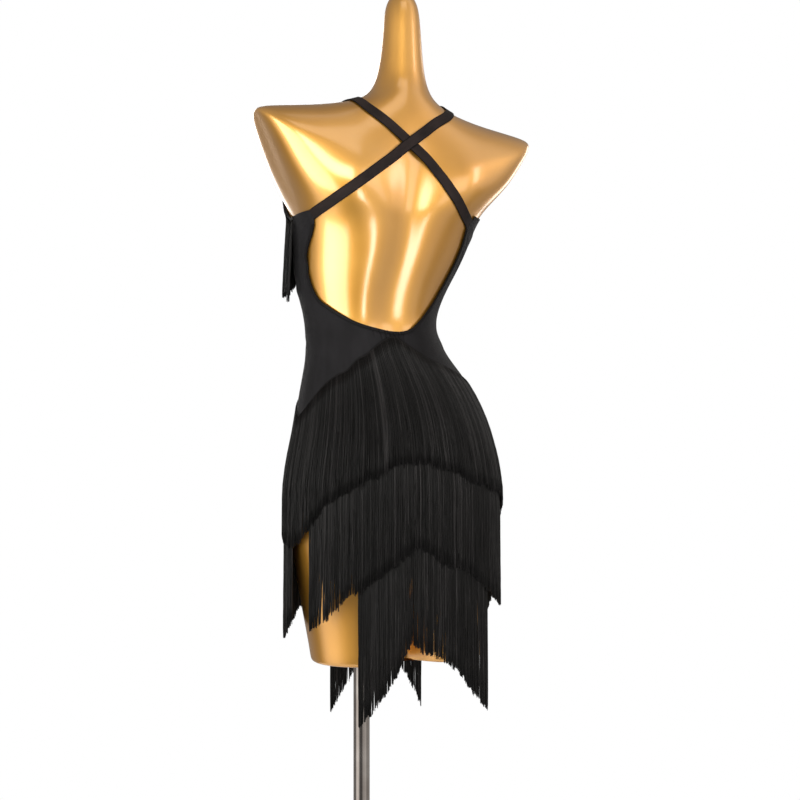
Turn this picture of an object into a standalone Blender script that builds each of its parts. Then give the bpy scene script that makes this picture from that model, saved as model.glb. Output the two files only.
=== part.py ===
"""Latin dance dress on a limbless dress form.

Metres, +Z up.  The dress faces -Y and the wearer's left is +X.  The origin is
the middle of the base's underside, on the pole's axis.

Every cloth piece is a thin wall laid over the form.  A place on the form is an
angle round the body (0 at the wearer's left side, 90 at the middle of the back,
-90 at the middle of the front, 180 at the right side) and a height.
"""
import math

import bmesh
import bpy
import numpy as np

# Metres for a degree round the body, and for a metre of height
METRIC = np.array([0.0022, 1.0])

# Stand
BASE_RADIUS = 0.155
BASE_THICKNESS = 0.010
BASE_EDGE = 0.003
COLLAR_RADIUS = 0.024
COLLAR_HEIGHT = 0.022
POLE_RADIUS = 0.0125
SOCKET_DEPTH = 0.060
FIT_GAP = 0.0003

# Form
FORM_OFFSET_X = -0.047
FORM_BOTTOM = 0.600
FORM_SIDES = 36
FORM_STEPS = ((0, 3, 3), (3, 12, 8), (12, 25, 20), (25, 39, 13))

# Cloth, as distances out from the form
CLOTH_INSIDE = 0.0020
CLOTH_OUTSIDE = 0.0032
TRIM_INSIDE = 0.0044
TRIM_OUTSIDE = 0.0056
TRIM_WIDTH = 0.005
STRAP_WIDTH = 0.016
STRAP_THICKNESS = 0.0012
FRINGE_THICKNESS = 0.0015
FRINGE_RISE = {1: (0.0, 0.140), 2: (0.0, 0.045), 3: (0.0, 0.060)}
HIP_HEIGHT = 0.858
SEAM_GAP = 0.13
SEAM_ROWS = 20
SEAM_CROWDING = 1.25
BACK_COLUMNS = 22
BACK_ROWS = 11
FRONT_COLUMNS = 28

# Rings of the form, bottom to top.  side_height is the ring's height at the
# body's sides; it sags by front_sag and back_sag at the middles.  squareness is
# the exponent of the ring's oval, 2 for an ellipse.
# Columns: side_height, half_width, centre_x, centre_y, half_depth, front_sag,
# back_sag, squareness
RINGS = np.array([
    (0.600, 0.0000, -0.012, 0.0025, 0.0000, 0.000, 0.000, 2.2),
    (0.600, 0.0750, -0.012, 0.0025, 0.0450, 0.000, 0.000, 2.2),
    (0.600, 0.1300, -0.012, 0.0025, 0.0760, 0.000, 0.000, 2.2),
    (0.603, 0.1385, -0.012, 0.0025, 0.0820, 0.000, 0.000, 2.2),
    (0.618, 0.1395, -0.012, 0.0025, 0.0830, 0.000, 0.000, 2.2),
    (0.687, 0.1480, -0.008, -0.0010, 0.0910, 0.000, 0.000, 2.2),
    (0.760, 0.1580, -0.004, 0.0040, 0.1040, 0.000, 0.000, 2.2),
    (0.810, 0.1635, -0.002, 0.0100, 0.1120, 0.000, 0.000, 2.2),
    (0.858, 0.1645, -0.001, 0.0125, 0.1175, 0.000, 0.000, 2.2),
    (0.900, 0.1595, -0.001, 0.0080, 0.1180, 0.000, 0.000, 2.2),
    (0.950, 0.1513, -0.0033, 0.0000, 0.1120, 0.000, 0.000, 2.15),
    (0.985, 0.1443, -0.0018, -0.0060, 0.1040, 0.000, 0.000, 2.1),
    (1.015, 0.1350, 0.001, -0.0115, 0.0965, 0.000, 0.000, 2.1),
    (1.045, 0.1210, 0.008, -0.0150, 0.0890, 0.000, 0.000, 2.1),
    (1.070, 0.1083, 0.0162, -0.0170, 0.0830, 0.000, 0.000, 2.1),
    (1.100, 0.1018, 0.0232, -0.0180, 0.0800, 0.000, 0.000, 2.1),
    (1.125, 0.0998, 0.0262, -0.0180, 0.0800, 0.000, 0.000, 2.1),
    (1.165, 0.1110, 0.0235, -0.0140, 0.0840, 0.000, 0.000, 2.1),
    (1.200, 0.1230, 0.016, -0.0100, 0.0890, 0.000, 0.000, 2.1),
    (1.235, 0.1315, 0.009, -0.0060, 0.0935, 0.000, 0.000, 2.15),
    (1.275, 0.1395, 0.0055, -0.0035, 0.0985, 0.000, 0.000, 2.4),
    (1.305, 0.1545, 0.0035, -0.0040, 0.1000, 0.020, 0.015, 3.0),
    (1.345, 0.1825, -0.0005, -0.0038, 0.0983, 0.035, 0.030, 3.3),
    (1.385, 0.2045, -0.0035, 0.0000, 0.0920, 0.050, 0.045, 3.1),
    (1.410, 0.2200, -0.006, 0.0032, 0.0870, 0.060, 0.055, 2.75),
    (1.423, 0.2270, -0.006, 0.0054, 0.0836, 0.063, 0.058, 2.4),
    (1.428, 0.2120, -0.006, 0.0076, 0.0800, 0.058, 0.050, 2.2),
    (1.432, 0.1800, -0.006, 0.0109, 0.0749, 0.048, 0.040, 2.1),
    (1.437, 0.1400, -0.006, 0.0131, 0.0701, 0.042, 0.028, 2.0),
    (1.444, 0.1030, -0.006, 0.0158, 0.0643, 0.035, 0.016, 2.0),
    (1.451, 0.0760, -0.007, 0.0190, 0.0575, 0.027, 0.006, 2.0),
    (1.462, 0.0530, -0.007, 0.0218, 0.0497, 0.018, 0.000, 2.0),
    (1.482, 0.0400, -0.008, 0.0230, 0.0400, 0.008, 0.000, 2.0),
    (1.512, 0.0338, -0.0083, 0.0250, 0.0350, 0.000, 0.000, 2.0),
    (1.550, 0.0300, -0.009, 0.0260, 0.0305, 0.000, 0.000, 2.0),
    (1.580, 0.0280, -0.009, 0.0260, 0.0285, 0.000, 0.000, 2.0),
    (1.604, 0.0250, -0.009, 0.0260, 0.0255, 0.000, 0.000, 2.0),
    (1.619, 0.0170, -0.009, 0.0260, 0.0170, 0.000, 0.000, 2.0),
    (1.623, 0.0080, -0.009, 0.0260, 0.0080, 0.000, 0.000, 2.0),
    (1.623, 0.0000, -0.009, 0.0260, 0.0000, 0.000, 0.000, 2.0),
])
LAST_RING = len(RINGS) - 1
LOWEST_WORN_RING = 3.0
HALVINGS = 34
# Tilt of the shoulders, and the heights where it comes in and goes out
SHOULDER_ROLL = 0.05
SHOULDER_IN = (1.27, 1.38)
SHOULDER_OUT = (1.45, 1.50)

# Soft shapes that stand out of the rings, or sink into them
BUST = {"x": 0.086, "z": 1.222, "rise": 0.044, "half_x": 0.060, "half_z": 0.066,
        "upper": 1.25, "bridge": 0.2}
BLADE = {"x": 0.085, "z": 1.335, "rise": 0.009, "half_x": 0.045, "half_z": 0.050}
SPINE_DEPTH = 0.0095
SPINE_HALF = 0.028
SPINE_IN = (1.02, 1.12)
SPINE_OUT = (1.28, 1.44)
THIGH_GROOVE = 0.78
THIGH_HALF = 0.032
THIGH_OUT = (0.66, 0.83)

# Edges of the dress, as (angle, height)
SIDE_SEAMS = {"left_top": (-6.0, 1.281), "left_hem": (0.0, 0.845),
              "right_top": (168.0, 1.281), "right_hem": (180.0, 0.870)}
BACK_OPENING = {
    "left": ((24.0, 1.283), (26.0, 1.268), (21.0, 1.248), (14.0, 1.225), (13.5, 1.198),
             (16.0, 1.181), (20.0, 1.166), (26.0, 1.152)),
    "bottom": ((35.5, 1.141), (47.0, 1.129), (60.0, 1.117), (75.0, 1.108), (92.0, 1.102),
               (106.0, 1.105), (116.5, 1.116)),
    "right": ((125.0, 1.129), (134.5, 1.150), (139.5, 1.174), (141.0, 1.204),
              (140.5, 1.232), (138.0, 1.252), (136.0, 1.263), (137.5, 1.282)),
}
BACK_HEM = ((0.0, 0.845), (20.0, 0.835), (38.0, 0.790), (54.0, 0.748), (90.0, 0.740),
            (132.0, 0.745), (150.0, 0.790), (165.0, 0.845), (180.0, 0.870))
NECKLINE = ((-6.0, 1.281), (-14.0, 1.280), (-22.0, 1.286), (-34.0, 1.304), (-46.0, 1.324),
            (-57.0, 1.343), (-64.0, 1.348), (-71.0, 1.330), (-80.0, 1.295), (-86.0, 1.276),
            (-90.0, 1.271), (-94.0, 1.276), (-100.0, 1.295), (-109.0, 1.330),
            (-116.0, 1.348), (-123.0, 1.343), (-134.0, 1.324), (-146.0, 1.304),
            (-158.0, 1.287), (-172.0, 1.280), (-192.0, 1.281))
FRONT_HEM = ((0.0, 0.845), (-15.0, 0.845), (-45.0, 0.790), (-70.0, 0.748), (-90.0, 0.740),
             (-125.0, 0.745), (-150.0, 0.800), (-180.0, 0.870))

# Fringe rows, as (angle, sewn height, tip height)
FRINGE_ROWS = {
    "fringe_back_1": ((0.0, 0.973, 0.786), (10.0, 0.984, 0.783), (20.0, 1.000, 0.795),
                      (30.0, 1.019, 0.822), (40.0, 1.034, 0.849), (48.0, 1.041, 0.863),
                      (58.0, 1.059, 0.877), (66.0, 1.067, 0.888), (74.0, 1.079, 0.900),
                      (84.0, 1.090, 0.906), (92.0, 1.093, 0.904), (98.0, 1.085, 0.900),
                      (106.0, 1.073, 0.894), (116.0, 1.060, 0.881), (128.0, 1.050, 0.872),
                      (140.0, 1.040, 0.862), (152.0, 1.030, 0.853), (165.0, 1.012, 0.830),
                      (180.0, 0.995, 0.800)),
    "fringe_back_2": ((26.0, 0.855, 0.661), (36.0, 0.870, 0.676), (45.0, 0.888, 0.698),
                      (60.0, 0.922, 0.729), (73.0, 0.948, 0.756), (80.0, 0.960, 0.770),
                      (86.0, 0.973, 0.783), (92.0, 0.966, 0.776), (100.0, 0.952, 0.760),
                      (117.0, 0.934, 0.743), (131.0, 0.905, 0.713), (152.0, 0.870, 0.680)),
    "fringe_back_3": ((55.5, 0.750, 0.524), (63.0, 0.771, 0.546), (70.0, 0.800, 0.575),
                      (76.0, 0.832, 0.603), (82.0, 0.872, 0.642), (90.0, 0.857, 0.630),
                      (99.0, 0.843, 0.620), (108.0, 0.826, 0.603), (121.0, 0.786, 0.561),
                      (132.5, 0.756, 0.530)),
    "fringe_front_1": ((0.0, 0.973, 0.786), (-8.0, 0.981, 0.789), (-20.0, 0.995, 0.797),
                       (-35.0, 1.015, 0.818), (-60.0, 1.047, 0.852), (-82.0, 1.073, 0.882),
                       (-90.0, 1.080, 0.890), (-98.0, 1.073, 0.884), (-120.0, 1.055, 0.862),
                       (-145.0, 1.034, 0.842), (-160.0, 1.020, 0.830), (-172.0, 1.004, 0.812),
                       (-180.0, 0.995, 0.800)),
    "fringe_front_2": ((9.0, 0.868, 0.678), (0.0, 0.858, 0.656), (-9.0, 0.850, 0.645),
                       (-20.0, 0.860, 0.646), (-40.0, 0.890, 0.662), (-50.0, 0.908, 0.690),
                       (-60.0, 0.928, 0.722),
                       (-80.0, 0.958, 0.772), (-90.0, 0.968, 0.782), (-100.0, 0.958, 0.772),
                       (-120.0, 0.932, 0.738), (-140.0, 0.902, 0.698), (-160.0, 0.862, 0.664),
                       (-171.0, 0.852, 0.668), (-180.0, 0.860, 0.698), (-189.0, 0.870, 0.712)),
    "fringe_front_3": ((-68.0, 0.750, 0.500), (-74.0, 0.775, 0.525), (-82.0, 0.800, 0.560),
                       (-94.0, 0.845, 0.615), (-102.0, 0.835, 0.603), (-110.0, 0.805, 0.570),
                       (-117.0, 0.775, 0.535), (-122.5, 0.750, 0.500)),
}
# How far each row ends up from the form, once clear of the row beneath it
FRINGE_DEPTH = {1: 0.0094, 2: 0.0070, 3: 0.0044}
FRINGE_COLUMNS = 16
FRINGE_STEPS = 6

# Bust fringe hangs from just under the neckline's trim, as (angle, tip height)
BUST_FRINGE = {
    "fringe_bust_left": ((-14.0, 1.157), (-22.0, 1.164), (-35.0, 1.170), (-55.0, 1.185),
                         (-75.0, 1.150), (-88.0, 1.130)),
    "fringe_bust_right": ((-141.0, 1.165), (-125.0, 1.185),
                          (-105.0, 1.150), (-92.0, 1.130)),
}
BUST_FRINGE_TOP = 0.011
BUST_FRINGE_LIFT = 0.0020
BUST_FRINGE_SWING = 0.0060

# Straps, as (angle, height); they cross at the middle of the back
STRAPS = {
    "strap_from_left_side": ((28.5, 1.2785), (42.4, 1.290), (54.1, 1.3045), (63.3, 1.3205),
                             (71.8, 1.339), (80.5, 1.361), (87.4, 1.383), (95.5, 1.401),
                             (108.0, 1.418), (128.0, 1.432), (150.0, 1.443), (165.0, 1.449),
                             (180.0, 1.450), (198.0, 1.4455), (210.0, 1.438), (219.8, 1.428),
                             (229.7, 1.414), (238.5, 1.398), (244.9, 1.380), (247.1, 1.363)),
    "strap_from_right_side": ((133.5, 1.273), (126.0, 1.2815), (117.6, 1.294), (109.2, 1.312),
                              (102.8, 1.331), (97.2, 1.350), (92.4, 1.368), (87.4, 1.384),
                              (81.0, 1.399), (72.0, 1.414), (59.0, 1.4285), (40.0, 1.443),
                              (20.0, 1.452), (0.0, 1.455), (-20.0, 1.449),
                              (-36.2, 1.438), (-44.7, 1.428), (-53.9, 1.414), (-61.7, 1.398),
                              (-66.2, 1.380), (-66.6, 1.363)),
}
CROSSING_ANGLE = 87.0
CROSSING_HALF = 13.0
CROSSING_LIFT = 0.0018
STRAP_STEPS = 38

GOLD = ("form_gold", (0.80, 0.56, 0.24, 1.0), 0.18, 1.0)
CHROME = ("stand_chrome", (0.75, 0.74, 0.72, 1.0), 0.08, 1.0)
JERSEY = ("black_jersey", (0.012, 0.012, 0.014, 1.0), 0.85, 0.0)
ELASTIC = ("black_elastic", (0.010, 0.010, 0.012, 1.0), 0.70, 0.0)
FRINGE = ("black_fringe", (0.008, 0.008, 0.010, 1.0), 0.55, 0.0)


def smooth_step(value, low, high):
    """Goes from 0 at low to 1 at high, flat at both ends."""
    share = np.clip((value - low) / (high - low), 0.0, 1.0)
    return share * share * (3.0 - 2.0 * share)


def ring_values(ring):
    """Cubic B-spline through the table of rings, ends held."""
    held = np.vstack([RINGS[:1], RINGS[:1], RINGS, RINGS[-1:], RINGS[-1:]])
    along = np.clip(np.asarray(ring, float), 0.0, LAST_RING) * (LAST_RING + 2) / LAST_RING - 1.0
    first = np.clip(np.floor(along).astype(int), -1, LAST_RING)
    f = along - first
    weights = ((1 - f) ** 3 / 6, (3 * f ** 3 - 6 * f ** 2 + 4) / 6,
               (-3 * f ** 3 + 3 * f ** 2 + 3 * f + 1) / 6, f ** 3 / 6)
    total = 0.0
    for step, weight in enumerate(weights):
        index = np.clip(first + 1 + step, 0, len(held) - 1)
        total = total + weight[..., None] * held[index]
    return np.moveaxis(total, -1, 0)


def form_surface(angle, ring, taut=False):
    """Point on the form.  A taut surface bridges the hollows, as stretched cloth does."""
    side, wide, centre_x, centre_y, deep, front_sag, back_sag, power = ring_values(ring)
    c = np.cos(angle)
    s = np.sin(angle)
    reach = (np.abs(c) ** power + np.abs(s) ** power) ** (-1.0 / power)
    x = wide * c * reach
    y = deep * s * reach
    z = side - s * s * ((front_sag + back_sag) / 2 + (back_sag - front_sag) / 2 * s)
    on_shoulder = smooth_step(side, *SHOULDER_IN) * (1 - smooth_step(side, *SHOULDER_OUT))
    z = z + SHOULDER_ROLL * on_shoulder * x
    front = smooth_step(-s, 0.0, 0.5)
    back = smooth_step(s, 0.0, 0.5)
    across = np.abs(x)
    bust = np.exp(-((across - BUST["x"]) / BUST["half_x"]) ** 2)
    if taut:
        bridge = 1 - BUST["bridge"] * (1 - across / BUST["x"]) ** 2
        bust = np.where(across < BUST["x"], bridge, bust)
    above = np.where(z > BUST["z"], BUST["upper"] * BUST["half_z"], BUST["half_z"])
    y = y - front * BUST["rise"] * bust * np.exp(-((z - BUST["z"]) / above) ** 2)
    y = y + back * BLADE["rise"] * np.exp(-((across - BLADE["x"]) / BLADE["half_x"]) ** 2
                                          - ((z - BLADE["z"]) / BLADE["half_z"]) ** 2)
    if not taut:
        spine = smooth_step(z, *SPINE_IN) * (1 - smooth_step(z, *SPINE_OUT))
        y = y - back * SPINE_DEPTH * np.exp(-(x / SPINE_HALF) ** 2) * spine
        groove = (1 - smooth_step(z, *THIGH_OUT)) * np.exp(-(x / THIGH_HALF) ** 2)
        y = y * (1 - THIGH_GROOVE * groove)
    return np.stack([x + centre_x + FORM_OFFSET_X, y + centre_y, z], -1)


def form_normal(angle, ring):
    """Outward direction of the taut surface, from small steps round and up."""
    step = 1e-3
    around = form_surface(angle + step, ring, True) - form_surface(angle - step, ring, True)
    up = form_surface(angle, ring + 5 * step, True) - form_surface(angle, ring - 5 * step, True)
    out = np.cross(around, up)
    return out / np.linalg.norm(out, axis=-1, keepdims=True)


def ring_at(angle, height):
    """Ring whose height at this angle is the one asked for, found by halving."""
    low = np.full(np.shape(angle), LOWEST_WORN_RING)
    high = np.full(np.shape(angle), LAST_RING - LOWEST_WORN_RING)
    for _ in range(HALVINGS):
        middle = (low + high) / 2
        under = form_surface(angle, middle, True)[..., 2] < height
        low = np.where(under, middle, low)
        high = np.where(under, high, middle)
    return (low + high) / 2


def cloth_point(degrees, height, depth, widest=HIP_HEIGHT):
    """Place on the cloth: on the form down to its widest height, then straight down."""
    angle = np.radians(degrees)
    ring = ring_at(angle, np.maximum(height, widest))
    point = form_surface(angle, ring, True) + form_normal(angle, ring) * depth[..., None]
    point[..., 2] = np.where(height < widest, height, point[..., 2])
    return point


def smooth_path(points, count):
    """Even steps along a Catmull-Rom curve through the points."""
    table = np.array(points, float)
    ends = np.vstack([2 * table[0] - table[1], table, 2 * table[-1] - table[-2]])
    fine = []
    for start in range(len(table) - 1):
        p0, p1, p2, p3 = ends[start:start + 4]
        f = np.linspace(0.0, 1.0, 24, endpoint=False)[:, None]
        fine.append(0.5 * (2 * p1 + (p2 - p0) * f + (2 * p0 - 5 * p1 + 4 * p2 - p3) * f ** 2
                           + (3 * p1 - p0 - 3 * p2 + p3) * f ** 3))
    fine = np.vstack(fine + [table[-1:]])
    steps = np.diff(fine, axis=0) * METRIC
    length = np.concatenate([[0.0], np.cumsum(np.linalg.norm(steps, axis=1))])
    even = np.linspace(0.0, length[-1], count)
    return np.stack([np.interp(even, length, column) for column in fine.T], -1)


def by_angle(points, degrees):
    """Heights read from a table by angle, one column after another."""
    table = np.array(points, float)
    table = table[np.argsort(table[:, 0])]
    return [np.interp(degrees, table[:, 0], column) for column in table.T[1:]]


def make_material(finish):
    """Principled material from a finish's name, colour, roughness and metallic value."""
    name, colour, roughness, metallic = finish
    material = bpy.data.materials.get(name) or bpy.data.materials.new(name)
    material.use_nodes = True
    shader = material.node_tree.nodes["Principled BSDF"]
    shader.inputs["Base Color"].default_value = colour
    shader.inputs["Roughness"].default_value = roughness
    shader.inputs["Metallic"].default_value = metallic
    return material


def make_object(name, points, faces, finish):
    """Mesh object with smooth shading across soft corners."""
    mesh = bpy.data.meshes.new(name)
    mesh.from_pydata([tuple(point) for point in points], [], faces)
    mesh.update()
    mesh.shade_smooth()
    mesh.set_sharp_from_angle(angle=math.radians(40))
    piece = bpy.data.objects.new(name, mesh)
    bpy.context.scene.collection.objects.link(piece)
    mesh.materials.append(make_material(finish))
    return piece


def make_wall(name, inner, outer, finish):
    """Closed wall between two grids of points, joined round its four edges."""
    rows, columns = inner.shape[:2]
    size = rows * columns
    points = np.vstack([outer.reshape(size, 3), inner.reshape(size, 3)])
    index = np.arange(size).reshape(rows, columns)
    faces = []
    for row in range(rows - 1):
        for column in range(columns - 1):
            a, b = index[row, column], index[row, column + 1]
            c, d = index[row + 1, column + 1], index[row + 1, column]
            faces += [(a, b, c, d), (d + size, c + size, b + size, a + size)]
    rim = list(index[0, :]) + list(index[1:, -1]) + list(index[-1, -2::-1])
    rim += list(index[-2:0:-1, 0])
    for start, end in zip(rim, rim[1:] + rim[:1]):
        faces.append((end, start, start + size, end + size))
    piece = make_object(name, points, [tuple(int(i) for i in face) for face in faces], finish)
    mesh = bmesh.new()
    mesh.from_mesh(piece.data)
    bmesh.ops.recalc_face_normals(mesh, faces=mesh.faces)
    mesh.to_mesh(piece.data)
    mesh.free()
    return piece


def seam_shares():
    """Shares of the way down a side seam, closer together near the bust."""
    return np.linspace(0.0, 1.0, SEAM_ROWS + 1) ** SEAM_CROWDING


def make_panel(name, upper, lower, shares, finish):
    """Cloth wall ruled between an upper and a lower edge of (angle, height)."""
    share = shares[:, None, None]
    grid = upper[None] * (1 - share) + lower[None] * share
    degrees, height = grid[..., 0], grid[..., 1]
    inside = np.full(degrees.shape, CLOTH_INSIDE)
    outside = np.full(degrees.shape, CLOTH_OUTSIDE)
    return make_wall(name, cloth_point(degrees, height, inside),
                     cloth_point(degrees, height, outside), finish)


def seam_edge(top, hem):
    """Side seam from its top to the hem, as (angle, height)."""
    return np.array(top) + (np.array(hem) - np.array(top)) * seam_shares()[:, None]


def opening_edge():
    """Left, lower and right stretches of the back's opening, as one even path each."""
    whole = BACK_OPENING["left"] + BACK_OPENING["bottom"] + BACK_OPENING["right"]
    path = smooth_path(whole, 241)
    first = np.argmin(np.hypot(*((path - whole[len(BACK_OPENING["left"]) - 1])
                                 * METRIC).T))
    last = np.argmin(np.hypot(*((path - BACK_OPENING["right"][1]) * METRIC).T))
    return path[:first + 1], path[first:last + 1], path[last:]


def every(path, count):
    """The path resampled to a count of points."""
    place = np.linspace(0, len(path) - 1, count)
    return np.stack([np.interp(place, np.arange(len(path)), column) for column in path.T], -1)


def build_back():
    """Back panel, ruled from its deep opening out to the seams and the hem."""
    left, bottom, right = opening_edge()
    upper = np.vstack([every(left, SEAM_ROWS + 1), every(bottom, BACK_COLUMNS + 1)[1:-1],
                       every(right, SEAM_ROWS + 1)])
    degrees = np.linspace(0.0, 180.0, BACK_COLUMNS + 1)
    hem = np.stack([degrees, by_angle(BACK_HEM, degrees)[0]], -1)
    lower = np.vstack([
        seam_edge(SIDE_SEAMS["left_top"], SIDE_SEAMS["left_hem"]), hem[1:-1],
        seam_edge(SIDE_SEAMS["right_top"], SIDE_SEAMS["right_hem"])[::-1]])
    middle = 90.0
    lower[:, 0] += np.where(lower[:, 0] < middle, SEAM_GAP, -SEAM_GAP)
    return make_panel("dress_back", upper, lower, np.linspace(0.0, 1.0, BACK_ROWS + 1), JERSEY)


def build_front():
    """Front panel, ruled from its neckline down to the hem, columns seam to seam."""
    upper = smooth_path(NECKLINE, 400)
    share = np.linspace(0.0, 1.0, FRONT_COLUMNS + 1)
    top_start, top_end = NECKLINE[0][0] - SEAM_GAP, SIDE_SEAMS["right_top"][0] - 360.0 + SEAM_GAP
    hem_start, hem_end = FRONT_HEM[0][0] - SEAM_GAP, FRONT_HEM[-1][0] + SEAM_GAP
    top_angle = top_start + share * (top_end - top_start)
    hem_angle = hem_start + share * (hem_end - hem_start)
    top = np.stack([top_angle, by_angle(upper, top_angle)[0]], -1)
    hem = np.stack([hem_angle, by_angle(FRONT_HEM, hem_angle)[0]], -1)
    return make_panel("dress_front", top, hem, seam_shares(), JERSEY)


def trim_band(name, path, side, finish):
    """Narrow band laid on a panel's outside, its outer edge on the panel's own edge."""
    along = np.gradient(path, axis=0) * METRIC
    along /= np.linalg.norm(along, axis=1, keepdims=True)
    inward = np.stack([along[:, 1], -along[:, 0]], -1) * side * TRIM_WIDTH / METRIC
    grid = np.stack([path, path + inward])
    degrees, height = grid[..., 0], grid[..., 1]
    return make_wall(name, cloth_point(degrees, height, np.full(degrees.shape, TRIM_INSIDE)),
                     cloth_point(degrees, height, np.full(degrees.shape, TRIM_OUTSIDE)), finish)


def build_trims():
    """Elastic binding round the back's opening and along the neckline."""
    opening = np.vstack(opening_edge())
    trim_band("binding_back", every(opening[14:-14], 46), 1.0, ELASTIC)
    neckline = smooth_path(NECKLINE, 300)
    trim_band("binding_neckline", every(neckline[3:-3], 46), -1.0, ELASTIC)


def fringe_depth(level, fall):
    """A row starts on the dress and rises clear of the row beneath it."""
    lift = FRINGE_DEPTH[level] - TRIM_INSIDE
    return TRIM_INSIDE + lift * smooth_step(fall, *FRINGE_RISE[level])


def build_fringe(name, table):
    """Plain wall over the reach of one hanging row of fringe."""
    angles = np.array(table, float)[:, 0]
    direction = 1.0 if angles[-1] > angles[0] else -1.0
    degrees = np.linspace(angles[0] + direction * SEAM_GAP, angles[-1] - direction * SEAM_GAP,
                          FRINGE_COLUMNS + 1)
    sewn, tip = by_angle(table, degrees)
    share = np.linspace(0.0, 1.0, FRINGE_STEPS + 1)[:, None]
    height = sewn * (1 - share) + tip * share
    depth = fringe_depth(int(name[-1]), sewn - height)
    wide = np.broadcast_to(degrees, height.shape)
    make_wall(name, cloth_point(wide, height, depth),
              cloth_point(wide, height, depth + FRINGE_THICKNESS), FRINGE)


def build_bust_fringe(name, table):
    """Short row under the neckline, hanging clear of the body below the bust."""
    angles = np.array(table, float)[:, 0]
    degrees = np.linspace(angles[0], angles[-1], 13)
    neckline = smooth_path(NECKLINE, 400)
    edge = by_angle(neckline, degrees)[0]
    sewn = edge - BUST_FRINGE_TOP
    tip = by_angle(table, degrees)[0]
    share = np.linspace(0.0, 1.0, 6)[:, None]
    height = sewn * (1 - share) + tip * share
    from_side = np.minimum(-degrees, 180.0 + degrees)
    widest = BUST["z"] + (edge - BUST["z"]) * (1 - smooth_step(from_side, 24.0, 42.0))
    wide = np.broadcast_to(degrees, height.shape)
    depth = TRIM_INSIDE + BUST_FRINGE_LIFT + BUST_FRINGE_SWING * share + np.zeros(height.shape)
    make_wall(name, cloth_point(wide, height, depth, widest),
              cloth_point(wide, height, depth + FRINGE_THICKNESS, widest), FRINGE)


def build_strap(name, table):
    """Flat strap along a path over the shoulder, lifted where it lies over the other."""
    path = smooth_path(table, STRAP_STEPS + 1)
    degrees, height = path.T
    angle = np.radians(degrees)
    ring = ring_at(angle, height)
    centre = form_surface(angle, ring, True)
    out = form_normal(angle, ring)
    along = np.gradient(centre, axis=0)
    along /= np.linalg.norm(along, axis=1, keepdims=True)
    across = np.cross(along, out)
    across /= np.linalg.norm(across, axis=1, keepdims=True)
    lift = np.zeros(len(path))
    if name == "strap_from_left_side":
        near = 1 - np.abs(degrees - CROSSING_ANGLE) / CROSSING_HALF
        lift = CROSSING_LIFT * smooth_step(near, 0.0, 0.45)
    sides = []
    for shift in (-0.5, 0.0, 0.5):
        sides.append(centre + across * shift * STRAP_WIDTH + out * (CLOTH_INSIDE + lift)[:, None])
    inner = np.stack(sides)
    outer = inner + out * STRAP_THICKNESS
    make_wall(name, inner, outer, ELASTIC)


def build_form():
    """Limbless form: rings of the surface, with a socket for the pole in its flat bottom."""
    ring = np.hstack([np.linspace(low, high, steps, endpoint=False)
                      for low, high, steps in FORM_STEPS])[1:]
    angle = np.radians(np.linspace(0.0, 360.0, FORM_SIDES, endpoint=False))
    grid = form_surface(angle[None], ring[:, None])
    points = list(grid.reshape(-1, 3))
    faces = []
    for row in range(len(ring) - 1):
        for column in range(FORM_SIDES):
            following = (column + 1) % FORM_SIDES
            low = row * FORM_SIDES
            faces.append((low + column, low + following,
                          low + following + FORM_SIDES, low + column + FORM_SIDES))
    faces.append(tuple(range(FORM_SIDES))[::-1])
    top = (len(ring) - 1) * FORM_SIDES
    faces.append(tuple(range(top, top + FORM_SIDES)))
    form = make_object("form_body", points, faces, GOLD)
    cutter = turned("socket_cutter", ((0.0, FORM_BOTTOM - 0.02),
                                      (POLE_RADIUS + FIT_GAP, FORM_BOTTOM - 0.02),
                                      (POLE_RADIUS + FIT_GAP, FORM_BOTTOM + SOCKET_DEPTH),
                                      (0.0, FORM_BOTTOM + SOCKET_DEPTH)), CHROME, 32)
    cutter.hide_render = True
    cutter.display_type = "WIRE"
    cut = form.modifiers.new("pole_socket", "BOOLEAN")
    cut.operation = "DIFFERENCE"
    cut.solver = "EXACT"
    cut.object = cutter


def turned(name, profile, finish, sides=48):
    """Solid turned about Z from (radius, height) points that start and end on the axis."""
    rings = profile[1:-1]
    points = [(0.0, 0.0, profile[0][1])]
    for radius, height in rings:
        for step in range(sides):
            turn = 2 * math.pi * step / sides
            points.append((radius * math.cos(turn), radius * math.sin(turn), height))
    points.append((0.0, 0.0, profile[-1][1]))
    last = len(points) - 1
    faces = []
    for step in range(sides):
        following = (step + 1) % sides
        faces.append((0, 1 + following, 1 + step))
        for ring in range(len(rings) - 1):
            low = 1 + ring * sides
            faces.append((low + step, low + following,
                          low + following + sides, low + step + sides))
        high = 1 + (len(rings) - 1) * sides
        faces.append((high + step, high + following, last))
    return make_object(name, points, faces, finish)


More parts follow.
